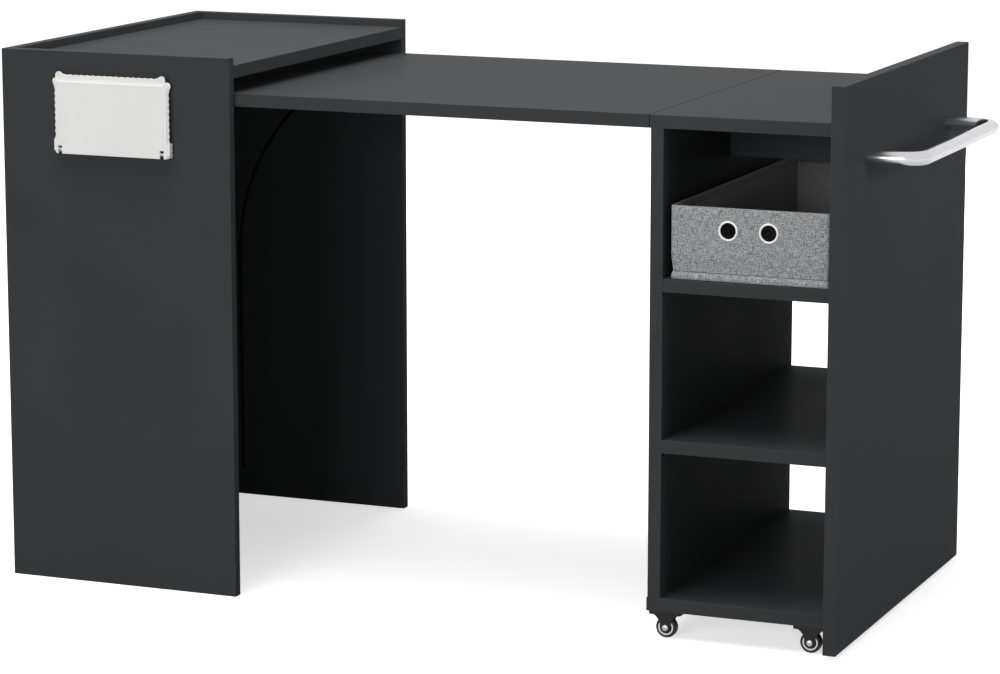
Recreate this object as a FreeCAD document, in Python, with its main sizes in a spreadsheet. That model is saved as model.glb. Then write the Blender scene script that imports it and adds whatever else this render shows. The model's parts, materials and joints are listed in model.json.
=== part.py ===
"""Folding manicure table: a shell, a hinged desk leaf and a trolley that rolls into the shell.

Millimetres. x runs along the desk from the shell's end panel, y = 0 is the middle of the table's
depth with the front at negative y, and z = 0 is the floor.
"""

import FreeCAD, Part
import os
import re

# Driving sizes, by the piece that they belong to.
SIZES = {
    # Shell and desk
    "depth": 600,
    "shell_length": 356,
    "shell_board": 15,
    "board": 18,
    "tray_clearance": 21,
    "tray_rim": 11,
    "side_gap": 2,
    "leaf_tuck": 46,
    "leaf_floor_gap": 37,
    "seam_gap": 1,
    # Trolley
    "trolley_width": 253.5,
    "compartment": 200,
    "end_panel_lift": 6,
    "stiffener_drop": 70,
    # Guide groove and pins
    "groove_line": 78,
    "groove_radius": 322,
    "groove_width": 5,
    "groove_depth": 6,
    "groove_floor": 45,
    "guide_inset": 15,
    "guide_radius": 2.2,
    "guide_seat": 20,
    "guide_clearance": 0.3,
    # Butt hinges
    "hinge_offset": 3.5,
    "hinge_length": 60,
    "hinge_clear": 5.6,
    "hinge_plate": 1.5,
    "hinge_flap": 26,
    "hinge_barrel": 3,
    "hinge_pin": 1.5,
    "hinge_play": 0.3,
    "hinge_screw_pitch": 36,
    "hinge_screw_inset": 15,
    "running_fit": 0.05,
    # Small countersunk screws
    "screw_core": 1.5,
    "screw_head": 3,
    "screw_bite": 10,
    # Knock-down joinery
    "cam_radius": 7.4,
    "cam_depth": 12.5,
    "cam_inset": 24,
    "cam_end": 70,
    "bolt_radius": 3,
    "bolt_bite": 11,
    "dowel_radius": 4,
    "dowel_bite": 10,
    "dowel_length": 30,
    "joinery_fit": 0.1,
    # Handle
    "handle_height": 656,
    "handle_span": 384,
    "handle_reach": 71,
    "handle_radius": 9.5,
    "handle_wall": 1.5,
    "handle_bend": 27,
    "insert_length": 14,
    "handle_screw": 2.5,
    "handle_screw_head": 4.75,
    "handle_screw_cap": 2.5,
    "handle_screw_bite": 10,
    # Casters
    "caster_height": 38,
    "caster_margin": 2,
    "flange_length": 46,
    "flange_width": 26,
    "flange_thick": 5,
    "fork_lobe": 7,
    "fork_foot": 22,
    "fork_cheek": 2,
    "fork_room": 7,
    "wheel_radius": 14.5,
    "wheel_width": 12,
    "rim_inner": 8.6,
    "rim_width": 2,
    "rim_proud": 0.3,
    "hub_boss": 5.5,
    "hub_play": 0.3,
    "axle_radius": 2,
    "axle_cap": 4.3,
    "axle_cap_thick": 1.4,
    "caster_screw_pitch": 36,
    "caster_screw_head": 2,
    # Linen bin
    "bin_gap_left": 9,
    "bin_gap_right": 6,
    "bin_front": 5,
    "bin_length": 540,
    "bin_height": 98.5,
    "bin_wall": 4,
    "bin_rest": 0.3,
    "bin_board": 2,
    "bin_board_play": 1,
    "eyelet_spacing": 56,
    "eyelet_shift": 1.5,
    "eyelet_drop": 30.4,
    "eyelet_hole": 10.7,
    "eyelet_wall": 0.9,
    "eyelet_rim": 2.7,
    "eyelet_lip": 1.2,
    # Fold-down side tray
    "dish_width": 167.4,
    "dish_height": 106.5,
    "dish_foot": 617.5,
    "dish_standoff": 14,
    "dish_floor": 2.5,
    "dish_depth": 5.2,
    "dish_flare": 7.2,
    "dish_wall": 2.7,
    "bead_radius": 4.4,
    "bead_pitch": 8.4,
    "bead_proud": 1.2,
    "bead_thick": 2.2,
    "bulb_radius": 5,
    "bulb_set": 10,
    "corner_cut": 6,
    "ear_thick": 5.5,
    "ear_inset": 1.5,
    "ear_radius": 3.5,
    "ear_rise": 14.5,
    "dish_axis_out": 5.5,
    "dish_axis_up": 4.6,
    "knuckle_radius": 2.6,
    "knuckle_width": 7.2,
    "knuckle_play": 0.5,
    "notch_rise": 11.5,
    "bracket_base": 2,
    "bracket_margin": 0.4,
    "bracket_clear": 1,
    "bracket_screw_head": 2.2,
    "bracket_screw_core": 1.2,
    "dish_pin": 1.5,
}

# Places worked out from the sizes. Each is a formula in size names.
HALF = "(depth / 2)"
INNER = "(depth / 2 - shell_board)"
EDGE = "(depth / 2 - shell_board - side_gap)"
FLOOR_TOP = "(caster_height + board)"
LOWER = "(caster_height + board + compartment)"
UPPER = "(caster_height + 2 * board + 2 * compartment)"
UNDER = "(caster_height + 3 * board + 3 * compartment)"
DESK = f"({UNDER} + board)"
TRAY_UNDER = f"({DESK} + tray_clearance)"
HEIGHT = f"({TRAY_UNDER} + board + tray_rim)"
LEAF_START = "(shell_length - leaf_tuck)"
AXIS_Z = f"({UNDER} - hinge_offset)"
AXIS_X = f"({LEAF_START} + {AXIS_Z} - leaf_floor_gap)"
LEAF_END = f"({AXIS_X} + seam_gap)"
TROLLEY = f"({LEAF_END} + seam_gap)"
SIDE = f"({AXIS_X} + hinge_offset)"
SIDE_IN = f"({SIDE} + board)"
END = f"({TROLLEY} + trolley_width)"
END_OUT = f"({END} + board)"
CAM_Y = f"({EDGE} - cam_end)"
HINGE_Y = f"({CAM_Y} - cam_radius - hinge_clear - hinge_length / 2)"
GUIDE_X = f"({LEAF_START} + guide_inset)"
GUIDE_Z = f"({UNDER} + board / 2)"
ARC_X = "(groove_line + groove_radius)"
ARC_Z = f"({GUIDE_Z} - sqrt(groove_radius ^ 2 - ({ARC_X} - {GUIDE_X}) ^ 2))"
SHELF_TOP = f"({UPPER} + board)"

QUARTER_TURN = 90
KNUCKLES = 5

doc = FreeCAD.newDocument("folding_manicure_table")
sheet = doc.addObject("Spreadsheet::Sheet", "dims")
nodes = []
bores = {}


def fill_sheet():
    """Writes each driving size to a cell of its own, under its name."""
    for row, (name, value) in enumerate(SIZES.items(), 1):
        sheet.set(f"A{row}", name)
        sheet.set(f"B{row}", str(value))
        sheet.setAlias(f"B{row}", name)
    doc.recompute()


def cells(formula):
    """A formula in size names, as one that reads the sheet."""
    return re.sub(r"[a-z_]{2,}", lambda m: f"dims.{m[0]}" if m[0] in SIZES else m[0], formula)


def bind(item, **formulas):
    """Ties an object's properties to formulas."""
    for name, formula in formulas.items():
        item.setExpression(name, cells(formula))
    return item


def place(item, at):
    """Ties an object's place to three formulas."""
    for axis, formula in zip("xyz", at):
        item.setExpression(f"Placement.Base.{axis}", cells(formula))
    return item


def box(low, high):
    """A block between two corners."""
    length, width, height = (f"({b}) - ({a})" for a, b in zip(low, high))
    item = bind(doc.addObject("Part::Box", "Block"), Length=length, Width=width, Height=height)
    return place(item, low)


DIRECTIONS = {
    "+X": FreeCAD.Vector(1, 0, 0),
    "-X": FreeCAD.Vector(-1, 0, 0),
    "+Y": FreeCAD.Vector(0, 1, 0),
    "-Y": FreeCAD.Vector(0, -1, 0),
    "+Z": FreeCAD.Vector(0, 0, 1),
    "-Z": FreeCAD.Vector(0, 0, -1),
}


def aim(item, toward):
    """Turns an object's own z axis to a direction."""
    turn = FreeCAD.Rotation(FreeCAD.Vector(0, 0, 1), DIRECTIONS[toward])
    item.Placement = FreeCAD.Placement(FreeCAD.Vector(), turn)
    return item


def rod(start, toward, length, radius):
    """A round bar from a point, in a direction."""
    item = aim(doc.addObject("Part::Cylinder", "Rod"), toward)
    return place(bind(item, Radius=radius, Height=length), start)


def cone(start, toward, length, wide, narrow):
    """A taper from a point, in a direction."""
    item = aim(doc.addObject("Part::Cone", "Taper"), toward)
    return place(bind(item, Radius1=wide, Radius2=narrow, Height=length), start)


def wedge(low, high, low2, high2):
    """A block whose front face, at the lowest y, and rear face have corners of their own."""
    return bind(
        doc.addObject("Part::Wedge", "Wedge"),
        Xmin=low[0], Ymin=low[1], Zmin=low[2], Xmax=high[0], Ymax=low2[1], Zmax=high[2],
        X2min=low2[0], Z2min=low2[2], X2max=high2[0], Z2max=high2[2],
    )


def fuse(*items):
    """One solid made of several."""
    item = doc.addObject("Part::MultiFuse", "Joined")
    item.Shapes = list(items)
    return item


def cut(base, *tools):
    """A solid with tools taken out of it."""
    item = doc.addObject("Part::Cut", "Cut")
    item.Base = base
    item.Tool = tools[0] if len(tools) == 1 else fuse(*tools)
    return item


def common(first, second):
    """What two solids share."""
    item = doc.addObject("Part::Common", "Shared")
    item.Base = first
    item.Tool = second
    return item


def group(items):
    """Separate solids kept together."""
    item = doc.addObject("Part::Compound", "Group")
    item.Links = list(items)
    return item


def node(label, item):
    """Makes an object a sub-part with a name of its own."""
    item.Label = label
    nodes.append(item)
    return item


def bore(label, item):
    """Notes a hole to take out of a board."""
    bores.setdefault(label, []).append(item)


def board(label, low, high, *tools):
    """A board with its noted holes and any tools taken out."""
    holes = bores.pop(label, []) + list(tools)
    blank = box(low, high)
    return node(label, cut(blank, *holes) if holes else blank)


def minus(formula):
    """A formula with its sign changed."""
    return f"(-{formula})"


def step(point, toward, distance):
    """A point moved along a direction."""
    moved = list(point)
    axis = "XYZ".index(toward[1])
    moved[axis] = f"{moved[axis]} {toward[0]} ({distance})"
    return tuple(moved)


def back(toward):
    """The opposite direction."""
    return ("-" if toward[0] == "+" else "+") + toward[1]


def span(toward, inner, outer):
    """Two formulas along an axis, the lower first, where outer lies in a direction from inner."""
    return (inner, outer) if toward[0] == "+" else (outer, inner)


def screw(start, toward, plate, head, core, bite):
    """A countersunk screw whose head fills a plate, from the plate's outer face."""
    shank = rod(step(start, toward, plate), toward, bite, core)
    return fuse(cone(start, toward, plate, head, core), shank)


class Joinery:
    """Cam locks, their bolts and dowels of one cabinet."""

    def __init__(self):
        self.cams = []
        self.bolts = []
        self.dowels = []

    def cam(self, edged, faced, seam, inward, opening, thick):
        """A cam lock in the board that meets the seam edge on, and its bolt in the other board."""
        mouth = step(step(seam, inward, "cam_inset"), opening, f"{thick} / 2")
        self.cams.append(rod(mouth, back(opening), "cam_depth", "cam_radius"))
        wide = "cam_radius + joinery_fit"
        bore(edged, rod(mouth, back(opening), "cam_depth + joinery_fit", wide))
        root = step(seam, back(inward), "bolt_bite")
        reach = "bolt_bite + cam_inset - cam_radius - 2 * joinery_fit"
        self.bolts.append(rod(root, inward, reach, "bolt_radius"))
        bore(edged, rod(seam, inward, "cam_inset", "bolt_radius + joinery_fit"))
        bore(faced, rod(root, inward, "bolt_bite", "bolt_radius + joinery_fit"))

    def dowel(self, edged, faced, seam, inward):
        """A wooden dowel across a seam."""
        root = step(seam, back(inward), "dowel_bite")
        self.dowels.append(rod(root, inward, "dowel_length", "dowel_radius"))
        deep = "dowel_length - dowel_bite + joinery_fit"
        bore(edged, rod(seam, inward, deep, "dowel_radius + joinery_fit"))
        bore(faced, rod(root, inward, "dowel_bite", "dowel_radius + joinery_fit"))

    def nodes(self, name):
        node(f"{name}_cam_locks", group(self.cams))
        node(f"{name}_cam_bolts", group(self.bolts))
        node(f"{name}_dowels", group(self.dowels))


def groove(y, toward):
    """The guide slot in one shell panel: an arc down from the leaf's pin, then a straight drop."""
    centre = (ARC_X, y, ARC_Z)
    half = "groove_width / 2"
    ring = cut(
        rod(centre, toward, "groove_depth", f"groove_radius + {half}"),
        rod(centre, toward, "groove_depth", f"groove_radius - {half}"),
    )
    deep = step(centre, toward, "groove_depth")[1]
    front, rear = span(toward, y, deep)
    quadrant = box(
        (f"groove_line - {half}", front, ARC_Z),
        (GUIDE_X, rear, f"{ARC_Z} + groove_radius + groove_width"),
    )
    drop = box(
        (f"groove_line - {half}", front, "groove_floor"),
        (f"groove_line + {half}", rear, ARC_Z),
    )
    stops = [
        rod((GUIDE_X, y, GUIDE_Z), toward, "groove_depth", half),
        rod(("groove_line", y, "groove_floor"), toward, "groove_depth", half),
    ]
    return fuse(common(ring, quadrant), drop, *stops)


def build_shell():
    """The standing cabinet: two grooved side panels, an end panel and a sunk top."""
    joinery = Joinery()
    tray_middle = f"({TRAY_UNDER} + board / 2)"
    sides = {
        "shell_front_panel": (minus(INNER), "+Y"),
        "shell_rear_panel": (INNER, "-Y"),
    }
    for label, (face, inward) in sides.items():
        for x in ("shell_board + cam_end", "shell_length - cam_end"):
            joinery.cam("shell_tray_top", label, (x, face, tray_middle), inward, "-Z", "board")
        joinery.dowel("shell_tray_top", label, ("shell_length / 2", face, tray_middle), inward)
        for z in ("cam_end", f"{HEIGHT} / 2", f"{TRAY_UNDER} - cam_end"):
            seam = ("shell_board / 2", face, z)
            joinery.cam("shell_end_panel", label, seam, inward, "+X", "shell_board")
        for share in (1, 3):
            seam = ("shell_board / 2", face, f"{HEIGHT} * {share} / 4")
            joinery.dowel("shell_end_panel", label, seam, inward)
    for y in ("-depth / 4", "depth / 4"):
        joinery.dowel("shell_tray_top", "shell_end_panel", ("shell_board", y, tray_middle), "+X")
    board(
        "shell_front_panel", ("0", minus(HALF), "0"), ("shell_length", minus(INNER), HEIGHT),
        groove(minus(INNER), "-Y"),
    )
    board(
        "shell_rear_panel", ("0", INNER, "0"), ("shell_length", HALF, HEIGHT),
        groove(INNER, "+Y"),
    )
    board("shell_end_panel", ("0", minus(INNER), "0"), ("shell_board", INNER, HEIGHT))
    board(
        "shell_tray_top",
        ("shell_board", minus(INNER), TRAY_UNDER),
        ("shell_length", INNER, f"{TRAY_UNDER} + board"),
    )
    joinery.nodes("shell")


def build_leaf():
    """The desk leaf and the two pins that its free end is guided by."""
    pins = []
    for toward, edge in (("-Y", minus(EDGE)), ("+Y", EDGE)):
        seat = step((GUIDE_X, edge, GUIDE_Z), back(toward), "guide_seat")
        reach = "guide_seat + side_gap - guide_clearance"
        pins.append(rod(seat, toward, reach, "guide_radius"))
        bore("desk_leaf", rod(seat, toward, "guide_seat", "guide_radius"))
    board("desk_leaf", (LEAF_START, minus(EDGE), UNDER), (LEAF_END, EDGE, DESK))
    node("guide_pins", group(pins))


def hinge_half(middle, fixed):
    """One plate of a butt hinge with every second knuckle, and its screws."""
    start = f"({middle} - hinge_length / 2)"
    end = f"({middle} + hinge_length / 2)"
    clear = "(hinge_barrel + hinge_play)"
    parts = []
    if fixed:
        face = (f"{SIDE} - hinge_plate", SIDE)
        spans = (f"{AXIS_Z} - hinge_flap", f"{AXIS_Z} - {clear}", AXIS_Z)
        parts.append(box((face[0], start, spans[0]), (face[1], end, spans[1])))
    else:
        face = (f"{UNDER} - hinge_plate", UNDER)
        spans = (f"{AXIS_X} - hinge_flap", f"{AXIS_X} - {clear}", AXIS_X)
        parts.append(box((spans[0], start, face[0]), (spans[1], end, face[1])))
    for k in range(0 if fixed else 1, KNUCKLES, 2):
        low = f"{start} + hinge_length * {k} / {KNUCKLES} + hinge_play / 2"
        high = f"{start} + hinge_length * {k + 1} / {KNUCKLES} - hinge_play / 2"
        parts.append(rod((AXIS_X, low, AXIS_Z), "+Y", f"({high}) - ({low})", "hinge_barrel"))
        if fixed:
            parts.append(box((face[0], low, spans[1]), (face[1], high, spans[2])))
        else:
            parts.append(box((spans[1], low, face[0]), (spans[2], high, face[1])))
    holes = [rod((AXIS_X, start, AXIS_Z), "+Y", "hinge_length", "hinge_pin + running_fit")]
    screws = []
    for side in "-+":
        y = f"{middle} {side} hinge_screw_pitch / 2"
        if fixed:
            at, toward, into = (face[0], y, f"{AXIS_Z} - hinge_screw_inset"), "+X", "trolley_side_panel"
        else:
            at, toward, into = (f"{AXIS_X} - hinge_screw_inset", y, face[0]), "+Z", "desk_leaf"
        screws.append(screw(at, toward, "hinge_plate", "screw_head", "screw_core", "screw_bite"))
        holes.append(cone(at, toward, "hinge_plate", "screw_head", "screw_core"))
        bore(into, rod(step(at, toward, "hinge_plate"), toward, "screw_bite", "screw_core"))
    return cut(fuse(*parts), *holes), screws


def build_hinges():
    """Three butt hinges in the corner under the leaf."""
    plates = {True: [], False: []}
    screws = {True: [], False: []}
    pins = []
    for place_along in (-1, 0, 1):
        middle = f"({HINGE_Y} * {place_along})"
        for fixed in (True, False):
            plate, held = hinge_half(middle, fixed)
            plates[fixed].append(plate)
            screws[fixed] += held
        start = (AXIS_X, f"{middle} - hinge_length / 2", AXIS_Z)
        pins.append(rod(start, "+Y", "hinge_length", "hinge_pin"))
    node("hinge_fixed_plates", group(plates[True]))
    node("hinge_fixed_screws", group(screws[True]))
    node("hinge_leaf_plates", group(plates[False]))
    node("hinge_leaf_screws", group(screws[False]))
    node("hinge_pins", group(pins))


def build_trolley():
    """The rolling cabinet's boards, open at the front and the back."""
    joinery = Joinery()
    side_middle = f"({SIDE} + board / 2)"
    ends = [minus(CAM_Y), CAM_Y]
    for y in ends:
        joinery.cam("trolley_side_panel", "trolley_top", (side_middle, y, UNDER), "-Z", "+X", "board")
        seam = (side_middle, y, FLOOR_TOP)
        joinery.cam("trolley_side_panel", "trolley_bottom", seam, "+Z", "+X", "board")
    joinery.dowel("trolley_side_panel", "trolley_top", (side_middle, "0", UNDER), "-Z")
    joinery.dowel("trolley_side_panel", "trolley_bottom", (side_middle, "0", FLOOR_TOP), "+Z")
    levels = {
        "trolley_bottom": "caster_height",
        "lower_shelf": LOWER,
        "upper_shelf": UPPER,
        "trolley_top": UNDER,
    }
    for label, under in levels.items():
        middle = f"({under} + board / 2)"
        for y in ends:
            joinery.cam(label, "trolley_end_panel", (END, y, middle), "-X", "-Z", "board")
        joinery.dowel(label, "trolley_end_panel", (END, "0", middle), "-X")
    for label in ("lower_shelf", "upper_shelf"):
        middle = f"({levels[label]} + board / 2)"
        for y in ends:
            joinery.cam(label, "trolley_side_panel", (SIDE_IN, y, middle), "+X", "-Z", "board")
        joinery.dowel(label, "trolley_side_panel", (SIDE_IN, "0", middle), "+X")
    rail_middle = f"({UNDER} - stiffener_drop / 2)"
    joinery.dowel("top_stiffener", "trolley_side_panel", (SIDE_IN, "0", rail_middle), "+X")
    joinery.dowel("top_stiffener", "trolley_end_panel", (END, "0", rail_middle), "-X")
    for label in ("trolley_top", "trolley_bottom"):
        low = (TROLLEY, minus(EDGE), levels[label])
        board(label, low, (END, EDGE, f"{levels[label]} + board"))
    for label in ("lower_shelf", "upper_shelf"):
        low = (SIDE_IN, minus(EDGE), levels[label])
        board(label, low, (END, EDGE, f"{levels[label]} + board"))
    board("trolley_side_panel", (SIDE, minus(EDGE), FLOOR_TOP), (SIDE_IN, EDGE, UNDER))
    board("trolley_end_panel", (END, minus(HALF), "end_panel_lift"), (END_OUT, HALF, HEIGHT))
    board(
        "top_stiffener",
        (SIDE_IN, "-board / 2", f"{UNDER} - stiffener_drop"),
        (END, "board / 2", UNDER),
    )
    joinery.nodes("trolley")


def pipe(start, toward, length, radius, bore_radius):
    """A round tube from a point, in a direction."""
    return cut(rod(start, toward, length, radius), rod(start, toward, length, bore_radius))


def elbow(centre, spin, radius, bore_radius):
    """A quarter turn of the handle's tube, flat on its side."""
    rings = []
    for thick in (radius, bore_radius):
        ring = bind(doc.addObject("Part::Torus", "Bend"), Radius1="handle_bend", Radius2=thick)
        ring.Angle3 = QUARTER_TURN
        ring.Placement.Rotation = FreeCAD.Rotation(FreeCAD.Vector(0, 0, 1), spin)
        rings.append(place(ring, centre))
    return cut(*rings)


def build_handle():
    """The tube handle on the end panel, with a threaded plug and a screw in each leg."""
    tube = ("handle_radius", "(handle_radius - handle_wall)")
    run = "(handle_span / 2 - handle_bend)"
    leg = "(handle_reach - handle_bend)"
    grip = (f"{END_OUT} + handle_reach", minus(run), "handle_height")
    lengths = [pipe(grip, "+Y", f"2 * {run}", *tube)]
    for side, spin in (("-", -QUARTER_TURN), ("+", 0)):
        foot = (END_OUT, f"{side}handle_span / 2", "handle_height")
        lengths.append(pipe(foot, "+X", leg, *tube))
        lengths.append(elbow((f"{END_OUT} + {leg}", f"{side}{run}", "handle_height"), spin, *tube))
    node("handle", fuse(*lengths))
    inserts = []
    screws = []
    for side in "-+":
        foot = (END_OUT, f"{side}handle_span / 2", "handle_height")
        head = (END, foot[1], foot[2])
        thread = rod(foot, "+X", "handle_screw_bite", "handle_screw")
        inserts.append(cut(rod(foot, "+X", "insert_length", tube[1]), thread))
        shank = rod(head, "+X", "board + handle_screw_bite", "handle_screw")
        cap = rod(head, "-X", "handle_screw_cap", "handle_screw_head")
        screws.append(fuse(shank, cap))
        bore("trolley_end_panel", rod(head, "+X", "board", "handle_screw + joinery_fit"))
    node("handle_inserts", group(inserts))
    node("handle_screws", group(screws))


def fork(x, y):
    """A caster's flange and the two cheeks that carry its axle."""
    flange_under = "(caster_height - flange_thick)"
    parts = [box(
        (f"{x} - flange_length / 2", f"{y} - flange_width / 2", flange_under),
        (f"{x} + flange_length / 2", f"{y} + flange_width / 2", "caster_height"),
    )]
    for low, high in (("-fork_room - fork_cheek", "-fork_room"), ("fork_room", "fork_room + fork_cheek")):
        front, rear = f"{y} + ({low})", f"{y} + ({high})"
        parts.append(rod((x, front, "wheel_radius"), "+Y", "fork_cheek", "fork_lobe"))
        cheek = doc.addObject("Part::Wedge", "Cheek")
        bind(
            cheek,
            Xmin="-fork_lobe", Xmax="fork_lobe", X2min="-fork_foot", X2max="fork_foot",
            Ymin="0", Ymax=f"{flange_under} - wheel_radius",
            Zmin="0", Zmax="fork_cheek", Z2min="0", Z2max="fork_cheek",
        )
        cheek.Placement.Rotation = FreeCAD.Rotation(FreeCAD.Vector(1, 0, 0), QUARTER_TURN)
        parts.append(place(cheek, (x, rear, "wheel_radius")))
    axle = rod((x, f"{y} - flange_width / 2", "wheel_radius"), "+Y", "flange_width", "axle_radius")
    return cut(fuse(*parts), axle)


def wheel(label, x, y):
    """A wheel's hub, white rim ring and tyre, one inside the other."""
    def disc(half, radius):
        return rod((x, f"{y} - ({half})", "wheel_radius"), "+Y", f"2 * ({half})", radius)

    half = "wheel_width / 2"
    rim_outer = "rim_inner + rim_width"
    rim_half = f"{half} + rim_proud"
    boss_half = "fork_room - hub_play"
    bearing = disc(boss_half, "axle_radius + running_fit")
    node(f"wheel_hub_{label}", cut(fuse(disc(half, "rim_inner"), disc(boss_half, "hub_boss")), bearing))
    node(f"wheel_rim_{label}", cut(disc(rim_half, rim_outer), disc(rim_half, "rim_inner")))
    node(f"wheel_tyre_{label}", cut(disc(half, "wheel_radius"), disc(half, rim_outer)))


def build_casters():
    """Four fixed casters under the trolley's bottom board."""
    along = "(caster_margin + flange_length / 2)"
    aside = f"({EDGE} - caster_margin - flange_width / 2)"
    columns = {"left": f"({TROLLEY} + {along})", "right": f"({END} - {along})"}
    rows = {"front": minus(aside), "rear": aside}
    axles = []
    screws = []
    for row, y in rows.items():
        for column, x in columns.items():
            label = f"{row}_{column}"
            holes = []
            for side in "-+":
                at = (f"{x} {side} caster_screw_pitch / 2", y, "caster_height - flange_thick")
                shank = rod(at, "+Z", "flange_thick + screw_bite", "screw_core")
                screws.append(fuse(shank, rod(at, "-Z", "caster_screw_head", "screw_head")))
                holes.append(rod(at, "+Z", "flange_thick", "screw_core"))
                seat = (at[0], y, "caster_height")
                bore("trolley_bottom", rod(seat, "+Z", "screw_bite", "screw_core"))
            node(f"caster_fork_{label}", cut(fork(x, y), *holes))
            wheel(label, x, y)
            cheek_out = "(fork_room + fork_cheek)"
            start = (x, f"{y} - {cheek_out}", "wheel_radius")
            end = (x, f"{y} + {cheek_out}", "wheel_radius")
            axles.append(fuse(
                rod(start, "+Y", f"2 * {cheek_out}", "axle_radius"),
                rod(start, "-Y", "axle_cap_thick", "axle_cap"),
                rod(end, "+Y", "axle_cap_thick", "axle_cap"),
            ))
    node("caster_axles", group(axles))
    node("caster_screws", group(screws))


def build_bin():
    """The open linen bin on the upper shelf, its base board and its two eyelets."""
    left, right = f"({SIDE_IN} + bin_gap_left)", f"({END} - bin_gap_right)"
    front = f"(bin_front - {EDGE})"
    rear = f"({front} + bin_length)"
    foot = f"({SHELF_TOP} + bin_rest)"
    top = f"({foot} + bin_height)"
    room = box(
        (f"{left} + bin_wall", f"{front} + bin_wall", f"{foot} + bin_wall"),
        (f"{right} - bin_wall", f"{rear} - bin_wall", top),
    )
    sleeve = "eyelet_hole + eyelet_wall"
    flange = "eyelet_hole + eyelet_rim"
    holes = []
    eyelets = []
    for side in "-+":
        x = f"({left} + {right}) / 2 - eyelet_shift {side} eyelet_spacing / 2"
        outside = (x, front, f"{top} - eyelet_drop")
        inside = step(outside, "+Y", "bin_wall")
        holes.append(rod(outside, "+Y", "bin_wall", sleeve))
        ring = fuse(
            rod(outside, "-Y", "eyelet_lip", flange),
            rod(outside, "+Y", "bin_wall", sleeve),
            rod(inside, "+Y", "eyelet_lip", flange),
        )
        through = rod(step(outside, "-Y", "eyelet_lip"), "+Y", "bin_wall + 2 * eyelet_lip", "eyelet_hole")
        eyelets.append(cut(ring, through))
    node("bin_body", cut(box((left, front, foot), (right, rear, top)), room, *holes))
    margin = "(bin_wall + bin_board_play)"
    board(
        "bin_base_board",
        (f"{left} + {margin}", f"{front} + {margin}", f"{foot} + bin_wall"),
        (f"{right} - {margin}", f"{rear} - {margin}", f"{foot} + bin_wall + bin_board"),
    )
    node("bin_eyelets", group(eyelets))


def dish_beads(left, right, top, rear):
    """Round beads that scallop the side tray's three rims."""
    wide = sheet.dish_width - 2 * sheet.bulb_set
    tall = sheet.dish_height - sheet.ear_rise - sheet.bulb_set
    across = max(1, round(wide / sheet.bead_pitch))
    up = max(1, round(tall / sheet.bead_pitch))
    inset = "(bead_radius - bead_proud)"
    places = []
    for k in range(across):
        x = f"{left} + bulb_set + (dish_width - 2 * bulb_set) * {k + 0.5} / {across}"
        places.append((x, f"{top} - {inset}"))
    for k in range(up):
        z = f"dish_foot + ear_rise + (dish_height - ear_rise - bulb_set) * {k + 0.5} / {up}"
        places.append((f"{left} - dish_flare + {inset}", z))
        places.append((f"{right} + dish_flare - {inset}", z))
    start = f"{rear} - bead_thick"
    return [rod((x, start, z), "+Y", "bead_thick", "bead_radius") for x, z in places]


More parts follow.
